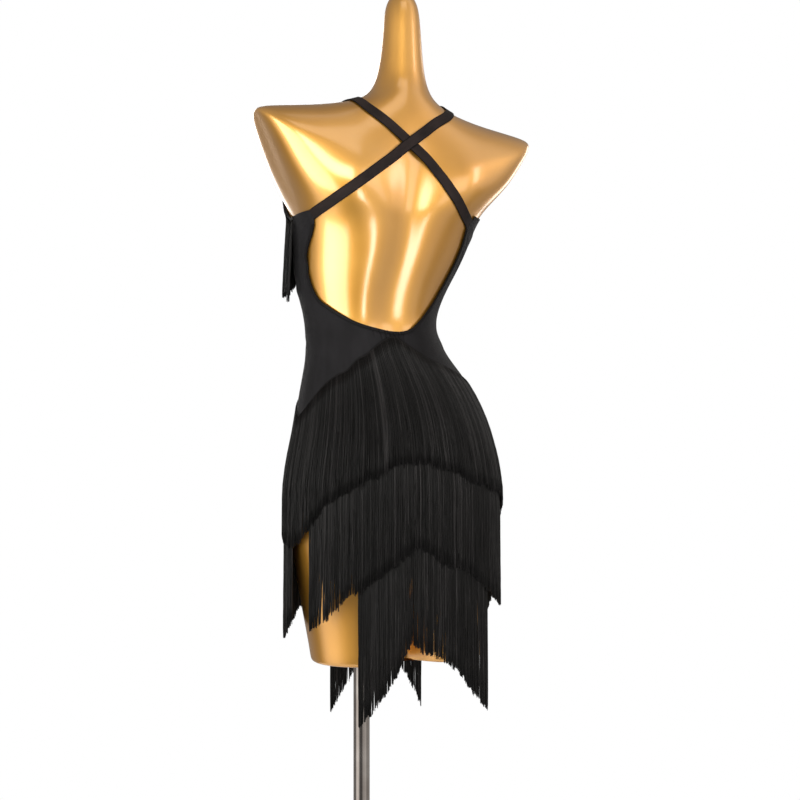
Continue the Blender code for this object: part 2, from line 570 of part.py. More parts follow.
def build_stand():
    """Round base, collar and pole."""
    top = BASE_THICKNESS
    turned("base_plate", ((0.0, 0.0), (BASE_RADIUS - 0.001, 0.0), (BASE_RADIUS, 0.001),
                          (BASE_RADIUS, top - BASE_EDGE),
                          (BASE_RADIUS - 0.3 * BASE_EDGE, top - 0.3 * BASE_EDGE),
                          (BASE_RADIUS - BASE_EDGE, top), (0.0, top)), CHROME, 64)
    foot = top + FIT_GAP
    collar_top = foot + COLLAR_HEIGHT
    collar = turned("pole_collar", ((0.0, foot), (COLLAR_RADIUS, foot),
                                    (COLLAR_RADIUS, foot + 0.6 * COLLAR_HEIGHT),
                                    (0.85 * COLLAR_RADIUS, foot + 0.9 * COLLAR_HEIGHT),
                                    (0.75 * COLLAR_RADIUS, collar_top), (0.0, collar_top)),
                    CHROME, 48)
    seat = turned("collar_cutter", ((0.0, foot + 0.004), (POLE_RADIUS + FIT_GAP, foot + 0.004),
                                    (POLE_RADIUS + FIT_GAP, collar_top + 0.01),
                                    (0.0, collar_top + 0.01)), CHROME, 32)
    seat.hide_render = True
    seat.display_type = "WIRE"
    cut = collar.modifiers.new("pole_seat", "BOOLEAN")
    cut.operation = "DIFFERENCE"
    cut.solver = "EXACT"
    cut.object = seat
    start = foot + 0.004 + FIT_GAP
    end = FORM_BOTTOM + SOCKET_DEPTH - FIT_GAP
    turned("pole", ((0.0, start), (POLE_RADIUS, start), (POLE_RADIUS, end), (0.0, end)),
           CHROME, 32)


def main():
    """Clear the scene and build every piece."""
    for item in list(bpy.data.objects):
        bpy.data.objects.remove(item, do_unlink=True)
    build_stand()
    build_form()
    build_back()
    build_front()
    build_trims()
    for name, table in FRINGE_ROWS.items():
        build_fringe(name, table)
    for name, table in BUST_FRINGE.items():
        build_bust_fringe(name, table)
    for name, table in STRAPS.items():
        build_strap(name, table)


main()
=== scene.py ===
"""Looks of a latin dance dress worn on a gold dress form with a chrome stand.

Metres, in the frame's own places: the dress faces -Y, the wearer's left is +X.
A place on the body is an angle round it in degrees (0 at the wearer's left side,
90 at the middle of the back, -90 at the middle of the front) and a height.
"""
import math

import bpy
import numpy as np
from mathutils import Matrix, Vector


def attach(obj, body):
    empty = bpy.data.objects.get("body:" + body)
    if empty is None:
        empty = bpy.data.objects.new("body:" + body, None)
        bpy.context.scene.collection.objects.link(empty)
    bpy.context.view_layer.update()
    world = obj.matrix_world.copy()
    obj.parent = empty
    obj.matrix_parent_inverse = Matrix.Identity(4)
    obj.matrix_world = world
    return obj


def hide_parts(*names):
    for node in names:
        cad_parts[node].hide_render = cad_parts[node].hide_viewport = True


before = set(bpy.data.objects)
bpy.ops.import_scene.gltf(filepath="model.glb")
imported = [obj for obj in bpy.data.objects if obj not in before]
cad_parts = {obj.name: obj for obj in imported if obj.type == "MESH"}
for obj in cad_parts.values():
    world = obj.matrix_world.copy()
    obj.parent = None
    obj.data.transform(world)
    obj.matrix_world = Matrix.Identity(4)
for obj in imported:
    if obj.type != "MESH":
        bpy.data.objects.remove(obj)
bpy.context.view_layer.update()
BODY = "root"
RANDOM = np.random.default_rng(11)

# The form stands this far to the wearer's right of its pole
FORM_OFFSET_X = -0.047
# The hip is widest here; below it the cloth and fringe hang straight, and they turn to
# the vertical over the blend above and below it
HIP_HEIGHT = 0.858
HANG_BLEND = 0.03
# The cloth's two faces, out from the taut body
CLOTH_INSIDE = 0.0016
CLOTH_OUTSIDE = 0.0028
# Steps in finding the ring that lies at a height
HALVINGS = 24
# Length along the body that a degree stands for in patterns and paths
METRES_PER_DEGREE = 0.0022
STRAP_WIDTH = 0.016

# Rings of the form, bottom to top.  side_height is the ring's height at the
# body's sides; it sags by front_sag and back_sag at the middles.  squareness is
# the exponent of the ring's oval, 2 for an ellipse.
# Columns: side_height, half_width, centre_x, centre_y, half_depth, front_sag,
# back_sag, squareness
RINGS = np.array([
    (0.600, 0.0000, -0.012, 0.0025, 0.0000, 0.000, 0.000, 2.2),
    (0.600, 0.0750, -0.012, 0.0025, 0.0450, 0.000, 0.000, 2.2),
    (0.600, 0.1300, -0.012, 0.0025, 0.0760, 0.000, 0.000, 2.2),
    (0.603, 0.1385, -0.012, 0.0025, 0.0820, 0.000, 0.000, 2.2),
    (0.618, 0.1395, -0.012, 0.0025, 0.0830, 0.000, 0.000, 2.2),
    (0.687, 0.1480, -0.008, -0.0010, 0.0910, 0.000, 0.000, 2.2),
    (0.760, 0.1580, -0.004, 0.0040, 0.1040, 0.000, 0.000, 2.2),
    (0.810, 0.1635, -0.002, 0.0100, 0.1120, 0.000, 0.000, 2.2),
    (0.858, 0.1645, -0.001, 0.0125, 0.1175, 0.000, 0.000, 2.2),
    (0.900, 0.1595, -0.001, 0.0080, 0.1180, 0.000, 0.000, 2.2),
    (0.950, 0.1513, -0.0033, 0.0000, 0.1120, 0.000, 0.000, 2.15),
    (0.985, 0.1443, -0.0018, -0.0060, 0.1040, 0.000, 0.000, 2.1),
    (1.015, 0.1350, 0.001, -0.0115, 0.0965, 0.000, 0.000, 2.1),
    (1.045, 0.1210, 0.008, -0.0150, 0.0890, 0.000, 0.000, 2.1),
    (1.070, 0.1083, 0.0162, -0.0170, 0.0830, 0.000, 0.000, 2.1),
    (1.100, 0.1018, 0.0232, -0.0180, 0.0800, 0.000, 0.000, 2.1),
    (1.125, 0.0998, 0.0262, -0.0180, 0.0800, 0.000, 0.000, 2.1),
    (1.165, 0.1110, 0.0235, -0.0140, 0.0840, 0.000, 0.000, 2.1),
    (1.200, 0.1230, 0.016, -0.0100, 0.0890, 0.000, 0.000, 2.1),
    (1.235, 0.1315, 0.009, -0.0060, 0.0935, 0.000, 0.000, 2.15),
    (1.275, 0.1395, 0.0055, -0.0035, 0.0985, 0.000, 0.000, 2.4),
    (1.305, 0.1545, 0.0035, -0.0040, 0.1000, 0.020, 0.015, 3.0),
    (1.345, 0.1825, -0.0005, -0.0038, 0.0983, 0.035, 0.030, 3.3),
    (1.385, 0.2045, -0.0035, 0.0000, 0.0920, 0.050, 0.045, 3.1),
    (1.410, 0.2200, -0.006, 0.0032, 0.0870, 0.060, 0.055, 2.75),
    (1.423, 0.2270, -0.006, 0.0054, 0.0836, 0.063, 0.058, 2.4),
    (1.428, 0.2120, -0.006, 0.0076, 0.0800, 0.058, 0.050, 2.2),
    (1.432, 0.1800, -0.006, 0.0109, 0.0749, 0.048, 0.040, 2.1),
    (1.437, 0.1400, -0.006, 0.0131, 0.0701, 0.042, 0.028, 2.0),
    (1.444, 0.1030, -0.006, 0.0158, 0.0643, 0.035, 0.016, 2.0),
    (1.451, 0.0760, -0.007, 0.0190, 0.0575, 0.027, 0.006, 2.0),
    (1.462, 0.0530, -0.007, 0.0218, 0.0497, 0.018, 0.000, 2.0),
    (1.482, 0.0400, -0.008, 0.0230, 0.0400, 0.008, 0.000, 2.0),
    (1.512, 0.0338, -0.0083, 0.0250, 0.0350, 0.000, 0.000, 2.0),
    (1.550, 0.0300, -0.009, 0.0260, 0.0305, 0.000, 0.000, 2.0),
    (1.580, 0.0280, -0.009, 0.0260, 0.0285, 0.000, 0.000, 2.0),
    (1.604, 0.0250, -0.009, 0.0260, 0.0255, 0.000, 0.000, 2.0),
    (1.619, 0.0170, -0.009, 0.0260, 0.0170, 0.000, 0.000, 2.0),
    (1.623, 0.0080, -0.009, 0.0260, 0.0080, 0.000, 0.000, 2.0),
    (1.623, 0.0000, -0.009, 0.0260, 0.0000, 0.000, 0.000, 2.0),
])
LAST_RING = len(RINGS) - 1
# Between the cups a taut surface sinks by this share of their rise, and above them
# their bell is longer by this factor
BUST_BRIDGE = 0.2
BUST_ABOVE = 1.25
# The left shoulder stands higher; fades in and out over these heights
SHOULDER_ROLL = 0.05
SHOULDER_FADES = (1.27, 1.38, 1.45, 1.50)
BUST = {"x": 0.086, "z": 1.222, "rise": 0.044, "half_x": 0.060, "half_z": 0.066}
BLADE = {"x": 0.085, "z": 1.335, "rise": 0.009, "half_x": 0.045, "half_z": 0.050}
SPINE_DEPTH = 0.0095
SPINE_HALF = 0.028
SPINE_FADES = (1.02, 1.12, 1.28, 1.44)
THIGH_GROOVE = 0.78
THIGH_HALF = 0.032
THIGH_FADES = (0.66, 0.83)

# Edges of the dress, as (angle, height)
SIDE_SEAMS = {"left_top": (-6.0, 1.281), "left_hem": (0.0, 0.845),
              "right_top": (168.0, 1.281), "right_hem": (180.0, 0.870)}
BACK_OPENING = {
    "left": ((24.0, 1.283), (26.0, 1.268), (21.0, 1.248), (14.0, 1.225), (13.5, 1.198),
             (16.0, 1.181), (20.0, 1.166), (26.0, 1.152)),
    "bottom": ((35.5, 1.141), (47.0, 1.129), (60.0, 1.117), (75.0, 1.108), (92.0, 1.102),
               (106.0, 1.105), (116.5, 1.116)),
    "right": ((125.0, 1.129), (134.5, 1.150), (139.5, 1.174), (141.0, 1.204),
              (140.5, 1.232), (138.0, 1.252), (136.0, 1.263), (137.5, 1.282)),
}
BACK_HEM = ((0.0, 0.845), (20.0, 0.835), (38.0, 0.790), (54.0, 0.748), (90.0, 0.740),
            (132.0, 0.745), (150.0, 0.790), (165.0, 0.845), (180.0, 0.870))
NECKLINE = ((-6.0, 1.281), (-14.0, 1.280), (-22.0, 1.286), (-34.0, 1.304), (-46.0, 1.324),
            (-57.0, 1.343), (-64.0, 1.348), (-71.0, 1.330), (-80.0, 1.295), (-86.0, 1.276),
            (-90.0, 1.271), (-94.0, 1.276), (-100.0, 1.295), (-109.0, 1.330),
            (-116.0, 1.348), (-123.0, 1.343), (-134.0, 1.324), (-146.0, 1.304),
            (-158.0, 1.287), (-172.0, 1.280), (-192.0, 1.281))
FRONT_HEM = ((0.0, 0.845), (-15.0, 0.845), (-45.0, 0.790), (-70.0, 0.748), (-90.0, 0.740),
             (-125.0, 0.745), (-150.0, 0.800), (-180.0, 0.870))

# Fringe rows, as (angle, sewn height, tip height)
FRINGE_ROWS = {
    "fringe_back_1": ((0.0, 0.973, 0.786), (10.0, 0.984, 0.783), (20.0, 1.000, 0.795),
                      (30.0, 1.019, 0.822), (40.0, 1.034, 0.849), (48.0, 1.041, 0.863),
                      (58.0, 1.059, 0.877), (66.0, 1.067, 0.888), (74.0, 1.079, 0.900),
                      (84.0, 1.090, 0.906), (92.0, 1.093, 0.904), (98.0, 1.085, 0.900),
                      (106.0, 1.073, 0.894), (116.0, 1.060, 0.881), (128.0, 1.050, 0.872),
                      (140.0, 1.040, 0.862), (152.0, 1.030, 0.853), (165.0, 1.012, 0.830),
                      (180.0, 0.995, 0.800)),
    "fringe_back_2": ((26.0, 0.855, 0.661), (36.0, 0.870, 0.676), (45.0, 0.888, 0.698),
                      (60.0, 0.922, 0.729), (73.0, 0.948, 0.756), (80.0, 0.960, 0.770),
                      (86.0, 0.973, 0.783), (92.0, 0.966, 0.776), (100.0, 0.952, 0.760),
                      (117.0, 0.934, 0.743), (131.0, 0.905, 0.713), (152.0, 0.870, 0.680)),
    "fringe_back_3": ((55.5, 0.750, 0.524), (63.0, 0.771, 0.546), (70.0, 0.800, 0.575),
                      (76.0, 0.832, 0.603), (82.0, 0.872, 0.642), (90.0, 0.857, 0.630),
                      (99.0, 0.843, 0.620), (108.0, 0.826, 0.603), (121.0, 0.786, 0.561),
                      (132.5, 0.756, 0.530)),
    "fringe_front_1": ((0.0, 0.973, 0.786), (-8.0, 0.981, 0.789), (-20.0, 0.995, 0.797),
                       (-35.0, 1.015, 0.818), (-60.0, 1.047, 0.852), (-82.0, 1.073, 0.882),
                       (-90.0, 1.080, 0.890), (-98.0, 1.073, 0.884), (-120.0, 1.055, 0.862),
                       (-145.0, 1.034, 0.842), (-160.0, 1.020, 0.830), (-172.0, 1.004, 0.812),
                       (-180.0, 0.995, 0.800)),
    "fringe_front_2": ((9.0, 0.868, 0.678), (0.0, 0.858, 0.656), (-9.0, 0.850, 0.645),
                       (-20.0, 0.860, 0.646), (-40.0, 0.890, 0.662), (-50.0, 0.908, 0.690),
                       (-60.0, 0.928, 0.722),
                       (-80.0, 0.958, 0.772), (-90.0, 0.968, 0.782), (-100.0, 0.958, 0.772),
                       (-120.0, 0.932, 0.738), (-140.0, 0.902, 0.698), (-160.0, 0.862, 0.664),
                       (-171.0, 0.852, 0.668), (-180.0, 0.860, 0.698), (-189.0, 0.870, 0.712)),
    "fringe_front_3": ((-68.0, 0.750, 0.500), (-74.0, 0.775, 0.525), (-82.0, 0.800, 0.560),
                       (-94.0, 0.845, 0.615), (-102.0, 0.835, 0.603), (-110.0, 0.805, 0.570),
                       (-117.0, 0.775, 0.535), (-122.5, 0.750, 0.500)),
}
# Each row starts close to the cloth, and rises to its own distance from the body
# over the first part of its fall, to hang over the row beneath it
FRINGE_START = 0.0040
FRINGE_DEPTH = {1: 0.0080, 2: 0.0060, 3: 0.0042}
FRINGE_RISE = {1: (0.0, 0.140), 2: (0.0, 0.060), 3: (0.0, 0.060)}
# Its strands are spread through most of its thickness
FRINGE_SPREAD = 0.0032 * 0.7
# Bust fringe, as (angle, tip height); it is sewn this far under the neckline's edge
BUST_FRINGE = {
    "fringe_bust_left": ((-6.0, 1.149), (-22.0, 1.162), (-35.0, 1.170), (-55.0, 1.185),
                         (-75.0, 1.150), (-88.0, 1.130)),
    "fringe_bust_right": ((-141.0, 1.165), (-125.0, 1.185), (-105.0, 1.150), (-92.0, 1.130)),
}
BUST_FRINGE_TOP = 0.006

# Straps, as (angle, height) from the back's edge over the shoulder to the cup; they
# cross at the middle of the back
STRAPS = {
    "strap_from_left_side": ((17.0, 1.271), (28.5, 1.2785), (42.4, 1.290), (54.1, 1.3045),
                             (63.3, 1.3205), (71.8, 1.339), (80.5, 1.361), (87.4, 1.383),
                             (95.5, 1.401), (108.0, 1.418), (128.0, 1.432), (150.0, 1.443),
                             (165.0, 1.449), (180.0, 1.450), (198.0, 1.4455), (210.0, 1.438),
                             (219.8, 1.428), (229.7, 1.414), (238.5, 1.398), (244.9, 1.380),
                             (247.1, 1.363), (245.5, 1.345)),
    "strap_from_right_side": ((141.5, 1.262), (133.5, 1.273), (126.0, 1.2815), (117.6, 1.294),
                              (109.2, 1.312), (102.8, 1.331), (97.2, 1.350), (92.4, 1.368),
                              (87.4, 1.384), (81.0, 1.399), (72.0, 1.414), (59.0, 1.4285),
                              (40.0, 1.443), (20.0, 1.452), (0.0, 1.455),
                              (-20.0, 1.449), (-36.2, 1.438), (-44.7, 1.428), (-53.9, 1.414),
                              (-61.7, 1.398), (-66.2, 1.380), (-66.6, 1.363),
                              (-65.2, 1.345)),
}

# Soft troughs (minus) and ridges (plus) of the cloth, listed:
# from (angle, height), to (angle, height), half width and rise
CREASES = (
    # puckers under the strap tabs
    (24.0, 1.262, 4.0, 1.215, 0.0030, -0.0015), (22.0, 1.272, -2.0, 1.248, 0.0035, 0.0015),
    (20.0, 1.256, 2.0, 1.180, 0.0028, 0.0014), (17.0, 1.243, 6.0, 1.165, 0.0026, -0.0013),
    (138.0, 1.258, 160.0, 1.205, 0.0032, -0.0011), (140.0, 1.268, 166.0, 1.240, 0.0035, 0.0010),
    (142.0, 1.248, 158.0, 1.175, 0.0026, 0.0008),
    # small gathers where the elastic rounds the foot of the opening
    (84.0, 1.106, 85.0, 1.087, 0.0016, -0.0016), (88.0, 1.105, 88.4, 1.084, 0.0014, -0.0015),
    (92.0, 1.104, 92.0, 1.083, 0.0017, -0.0018), (96.0, 1.104, 95.2, 1.086, 0.0015, -0.0013),
    (79.0, 1.108, 81.0, 1.091, 0.0015, -0.0013), (101.0, 1.106, 99.5, 1.088, 0.0016, -0.0014),
    (73.0, 1.111, 75.0, 1.095, 0.0015, -0.0011), (107.0, 1.108, 105.0, 1.093, 0.0015, -0.0010),
    # slack across the waist
    (-20.0, 1.138, 38.0, 1.104, 0.0050, -0.0009), (-6.0, 1.112, 30.0, 1.092, 0.0046, 0.0008),
    (-30.0, 1.090, 16.0, 1.068, 0.0055, -0.0008), (4.0, 1.062, 34.0, 1.052, 0.0046, 0.0007),
    (200.0, 1.134, 146.0, 1.104, 0.0050, -0.0009), (186.0, 1.108, 142.0, 1.082, 0.0046, 0.0008),
    (-62.0, 1.150, -118.0, 1.142, 0.0052, -0.0010), (-70.0, 1.126, -112.0, 1.120, 0.0050, 0.0008),
    (-52.0, 1.108, -100.0, 1.098, 0.0058, -0.0008),
    # pull lines from the bust to the side seams and down from the neckline
    (-58.0, 1.205, -18.0, 1.178, 0.0050, -0.0010), (-50.0, 1.188, -14.0, 1.156, 0.0046, 0.0009),
    (-122.0, 1.205, -162.0, 1.178, 0.0050, -0.0010), (-130.0, 1.188, -166.0, 1.158, 0.0046, 0.0008),
    (-66.0, 1.338, -70.0, 1.292, 0.0030, -0.0009), (-114.0, 1.338, -110.0, 1.292, 0.0030, -0.0009),
    (-84.0, 1.268, -80.0, 1.226, 0.0036, -0.0009), (-96.0, 1.268, -100.0, 1.230, 0.0036, -0.0008),
)


# Body surface

def smooth_step(value, low, high):
    """Goes from 0 at low to 1 at high, flat at both ends."""
    share = np.clip((value - low) / (high - low), 0.0, 1.0)
    return share * share * (3.0 - 2.0 * share)


def fade_between(value, low, full, still, high):
    """Goes from 0 at low to 1 at full, and from 1 at still back to 0 at high."""
    return smooth_step(value, low, full) * (1 - smooth_step(value, still, high))


def ring_values(ring):
    """Cubic B-spline through the table of rings, ends held."""
    held = np.vstack([RINGS[:1], RINGS[:1], RINGS, RINGS[-1:], RINGS[-1:]])
    along = np.clip(np.asarray(ring, float), 0.0, LAST_RING) * (LAST_RING + 2) / LAST_RING - 1.0
    first = np.clip(np.floor(along).astype(int), -1, LAST_RING)
    f = along - first
    weights = ((1 - f) ** 3 / 6, (3 * f ** 3 - 6 * f ** 2 + 4) / 6,
               (-3 * f ** 3 + 3 * f ** 2 + 3 * f + 1) / 6, f ** 3 / 6)
    total = 0.0
    for step, weight in enumerate(weights):
        index = np.clip(first + 1 + step, 0, len(held) - 1)
        total = total + weight[..., None] * held[index]
    return np.moveaxis(total, -1, 0)


def form_surface(angle, ring, taut=False):
    """Oval ring of side |cos|^n + |sin|^n = 1, stretched to the ring's sizes and sagged.

    Bust and shoulder blades are added as bells, the spine and the cleft between
    the thighs taken away.  A taut surface bridges the hollows, as cloth does.
    """
    side, wide, centre_x, centre_y, deep, front_sag, back_sag, power = ring_values(ring)
    c = np.cos(angle)
    s = np.sin(angle)
    reach = (np.abs(c) ** power + np.abs(s) ** power) ** (-1.0 / power)
    x = wide * c * reach
    y = deep * s * reach
    z = side - s * s * ((front_sag + back_sag) / 2 + (back_sag - front_sag) / 2 * s)
    on_shoulder = fade_between(side, *SHOULDER_FADES)
    z = z + SHOULDER_ROLL * on_shoulder * x
    front = smooth_step(-s, 0.0, 0.5)
    back = smooth_step(s, 0.0, 0.5)
    across = np.abs(x)
    bust = np.exp(-((across - BUST["x"]) / BUST["half_x"]) ** 2)
    if taut:
        between = 1 - BUST_BRIDGE * (1 - across / BUST["x"]) ** 2
        bust = np.where(across < BUST["x"], between, bust)
    half = np.where(z > BUST["z"], BUST_ABOVE * BUST["half_z"], BUST["half_z"])
    y = y - front * BUST["rise"] * bust * np.exp(-((z - BUST["z"]) / half) ** 2)
    y = y + back * BLADE["rise"] * np.exp(-((across - BLADE["x"]) / BLADE["half_x"]) ** 2
                                          - ((z - BLADE["z"]) / BLADE["half_z"]) ** 2)
    if not taut:
        spine = fade_between(z, *SPINE_FADES)
        y = y - back * SPINE_DEPTH * np.exp(-(x / SPINE_HALF) ** 2) * spine
        groove = (1 - smooth_step(z, *THIGH_FADES)) * np.exp(-(x / THIGH_HALF) ** 2)
        y = y * (1 - THIGH_GROOVE * groove)
    return np.stack([x + centre_x + FORM_OFFSET_X, y + centre_y, z], -1)


def form_normal(angle, ring):
    """Outward direction of the taut surface, from small steps round and up."""
    step = 1e-3
    around = form_surface(angle + step, ring, True) - form_surface(angle - step, ring, True)
    up = form_surface(angle, ring + 5 * step, True) - form_surface(angle, ring - 5 * step, True)
    out = np.cross(around, up)
    return out / np.linalg.norm(out, axis=-1, keepdims=True)


def ring_at(angle, height):
    """Ring whose height at this angle is the one asked for, found by halving."""
    low = np.full(np.shape(angle), 3.0)
    high = np.full(np.shape(angle), LAST_RING - 3.0)
    for _ in range(HALVINGS):
        middle = (low + high) / 2
        under = form_surface(angle, middle, True)[..., 2] < height
        low = np.where(under, middle, low)
        high = np.where(under, high, middle)
    return (low + high) / 2


def cloth_frame(degrees, height, widest=HIP_HEIGHT):
    """Place on the taut body and its outward direction; straight down below widest."""
    angle = np.radians(degrees)
    ring = ring_at(angle, np.maximum(height, widest))
    point = form_surface(angle, ring, True)
    out = form_normal(angle, ring)
    level = out * np.array([1.0, 1.0, 0.0])
    level /= np.linalg.norm(level, axis=-1, keepdims=True)
    below = smooth_step(widest - height, -HANG_BLEND, HANG_BLEND)[..., None]
    out = out * (1 - below) + level * below
    point[..., 2] = np.where(height < widest, height, point[..., 2])
    return point, out


def cloth_point(degrees, height, depth, widest=HIP_HEIGHT):
    """Place on the cloth, at a depth out from the taut body."""
    point, out = cloth_frame(degrees, height, widest)
    return point + out * np.asarray(depth)[..., None]


# Paths and tables

# Turns a step of (angle, height) into metres
METRIC = np.array([METRES_PER_DEGREE, 1.0])
CURVE_STEPS = 24


def smooth_path(points, count):
    """Even steps along a Catmull-Rom curve through (angle, height) points."""
    table = np.array(points, float)
    ends = np.vstack([2 * table[0] - table[1], table, 2 * table[-1] - table[-2]])
    f = np.linspace(0.0, 1.0, CURVE_STEPS, endpoint=False)[:, None]
    fine = []
    for p0, p1, p2, p3 in zip(ends, ends[1:], ends[2:], ends[3:]):
        fine.append(0.5 * (2 * p1 + (p2 - p0) * f + (2 * p0 - 5 * p1 + 4 * p2 - p3) * f ** 2
                           + (3 * p1 - p0 - 3 * p2 + p3) * f ** 3))
    fine = np.vstack(fine + [table[-1:]])
    length = np.linalg.norm(np.diff(fine, axis=0) * METRIC, axis=1)
    length = np.concatenate([[0.0], np.cumsum(length)])
    even = np.linspace(0.0, length[-1], count)
    return np.stack([np.interp(even, length, column) for column in fine.T], -1)


def by_angle(points, degrees):
    """Columns of a table read at each angle, eased between rows by a smooth curve."""
    table = np.array(points, float)
    table = table[np.argsort(table[:, 0])]
    slopes = np.gradient(table[:, 1:], table[:, 0], axis=0)
    index = np.clip(np.searchsorted(table[:, 0], degrees) - 1, 0, len(table) - 2)
    gap = table[index + 1, 0] - table[index, 0]
    f = np.clip((degrees - table[index, 0]) / gap, 0.0, 1.0)
    columns = []
    for column in range(table.shape[1] - 1):
        start, end = table[index, column + 1], table[index + 1, column + 1]
        rise, fall = slopes[index, column] * gap, slopes[index + 1, column] * gap
        columns.append((2 * f ** 3 - 3 * f ** 2 + 1) * start + (f ** 3 - 2 * f ** 2 + f) * rise
                       + (3 * f ** 2 - 2 * f ** 3) * end + (f ** 3 - f ** 2) * fall)
    return columns


def every(path, count):
    """The path resampled to a count of points."""
    place = np.linspace(0, len(path) - 1, count)
    return np.stack([np.interp(place, np.arange(len(path)), column) for column in path.T], -1)


def opening_edge():
    """Left, lower and right stretches of the back's opening, as one even path each."""
    whole = BACK_OPENING["left"] + BACK_OPENING["bottom"] + BACK_OPENING["right"]
    path = smooth_path(whole, 721)
    corners = (BACK_OPENING["left"][-1], BACK_OPENING["right"][1])
    first, last = (np.argmin(np.linalg.norm((path - corner) * METRIC, axis=1))
                   for corner in corners)
    return path[:first + 1], path[first:last + 1], path[last:]


# Meshes

# Level direction that no strand runs along, to start a tube's section from
TUBE_GUIDE = np.array([0.96, 0.28, 0.0])


def make_mesh(name, points, face_sets, material, corner_uv=None, tone=None):
    """Piece from points and sets of equal-sided faces, with its own UV map and tones."""
    mesh = bpy.data.meshes.new(name)
    mesh.vertices.add(len(points))
    mesh.vertices.foreach_set("co", np.ascontiguousarray(points, np.float32).ravel())
    corners = np.concatenate([faces.ravel() for faces in face_sets]).astype(np.int32)
    sizes = np.concatenate([np.full(len(faces), faces.shape[1]) for faces in face_sets])
    mesh.loops.add(len(corners))
    mesh.loops.foreach_set("vertex_index", corners)
    mesh.polygons.add(len(sizes))
    mesh.polygons.foreach_set("loop_start", (np.cumsum(sizes) - sizes).astype(np.int32))
    mesh.polygons.foreach_set("use_smooth", np.ones(len(sizes), bool))
    if corner_uv is not None:
        layer = mesh.uv_layers.new(name="cloth")
        layer.data.foreach_set("uv", corner_uv.astype(np.float32).ravel())
    if tone is not None:
        shade = mesh.attributes.new("tone", "FLOAT", "POINT")
        shade.data.foreach_set("value", tone.astype(np.float32))
    mesh.update(calc_edges=True)
    mesh.validate()
    mesh.materials.append(material)
    piece = bpy.data.objects.new(name, mesh)
    bpy.context.scene.collection.objects.link(piece)
    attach(piece, BODY)
    return piece


def grid_faces(rows, columns, wrap=False):
    """Quads of a grid of points, closed round its columns if asked."""
    index = np.arange(rows * columns).reshape(rows, columns)
    following = np.roll(index, -1, axis=1)
    last = columns if wrap else columns - 1
    return np.stack([index[:-1, :last], following[:-1, :last],
                     following[1:, :last], index[1:, :last]], -1).reshape(-1, 4)


def make_shell(name, inner, outer, uv, material):
    """Thin closed shell between two grids, outer faces out, joined round its edges."""
    rows, columns = inner.shape[:2]
    size = rows * columns
    points = np.vstack([outer.reshape(size, 3), inner.reshape(size, 3)])
    front = grid_faces(rows, columns)
    index = np.arange(size).reshape(rows, columns)
    rim = np.concatenate([index[0, :-1], index[:-1, -1], index[-1, :0:-1], index[:0:-1, 0]])
    onward = np.roll(rim, -1)
    band = np.stack([onward, rim, rim + size, onward + size], -1)
    faces = [front, front[:, ::-1] + size, band]
    corner_a = outer[0, 1] - outer[0, 0]
    corner_b = outer[1, 0] - outer[0, 0]
    if np.dot(np.cross(corner_a, corner_b), outer[0, 0] - inner[0, 0]) < 0:
        faces = [part[:, ::-1] for part in faces]
    flat_uv = np.vstack([uv.reshape(size, 2), uv.reshape(size, 2)])
    corners = np.concatenate([part.ravel() for part in faces])
    return make_mesh(name, points, faces, material, flat_uv[corners])


def make_tubes(name, paths, sides, radius, material, tone):
    """Tubes round many paths at once, paths given as (tube, step, xyz).

    Each ring is its path's point plus radius times cos and sin in the path's own
    two cross directions.
    """
    tubes, steps = paths.shape[:2]
    tangent = np.gradient(paths, axis=1)
    tangent /= np.linalg.norm(tangent, axis=-1, keepdims=True)
    across = np.cross(tangent, TUBE_GUIDE)
    across /= np.linalg.norm(across, axis=-1, keepdims=True)
    third = np.cross(tangent, across)
    turn = np.arange(sides) / sides * 2 * math.pi
    ring = across[:, :, None] * np.cos(turn)[:, None] + third[:, :, None] * np.sin(turn)[:, None]
    points = paths[:, :, None] + ring * radius[..., None, None]
    quads = grid_faces(steps, sides, wrap=True)
    first = np.arange(sides)[None, ::-1]
    last = np.arange(sides)[None] + (steps - 1) * sides
    offset = (np.arange(tubes) * steps * sides)[:, None, None]
    sets = [(part[None] + offset).reshape(-1, part.shape[1]) for part in (quads, first, last)]
    span = np.linalg.norm(np.diff(paths, axis=1), axis=-1)
    length = np.concatenate([np.zeros((tubes, 1)), np.cumsum(span, axis=1)], axis=1)
    step_of = quads // sides
    first_side = np.repeat(np.arange(sides)[None], steps - 1, 0).reshape(-1, 1)
    corner_side = np.array([0, 1, 1, 0]) + first_side
    u = np.broadcast_to((corner_side / sides)[None], (tubes, *quads.shape))
    v = length[:, step_of]
    quad_uv = np.stack([u, v], -1).reshape(-1, 2)
    caps = np.concatenate([np.full((tubes * sides, 2), 0.5),
                           np.stack([np.full(tubes * sides, 0.5),
                                     np.repeat(length[:, -1], sides)], -1)])
    return make_mesh(name, points.reshape(-1, 3), sets, material,
                     np.vstack([quad_uv, caps]), np.repeat(tone, steps * sides))


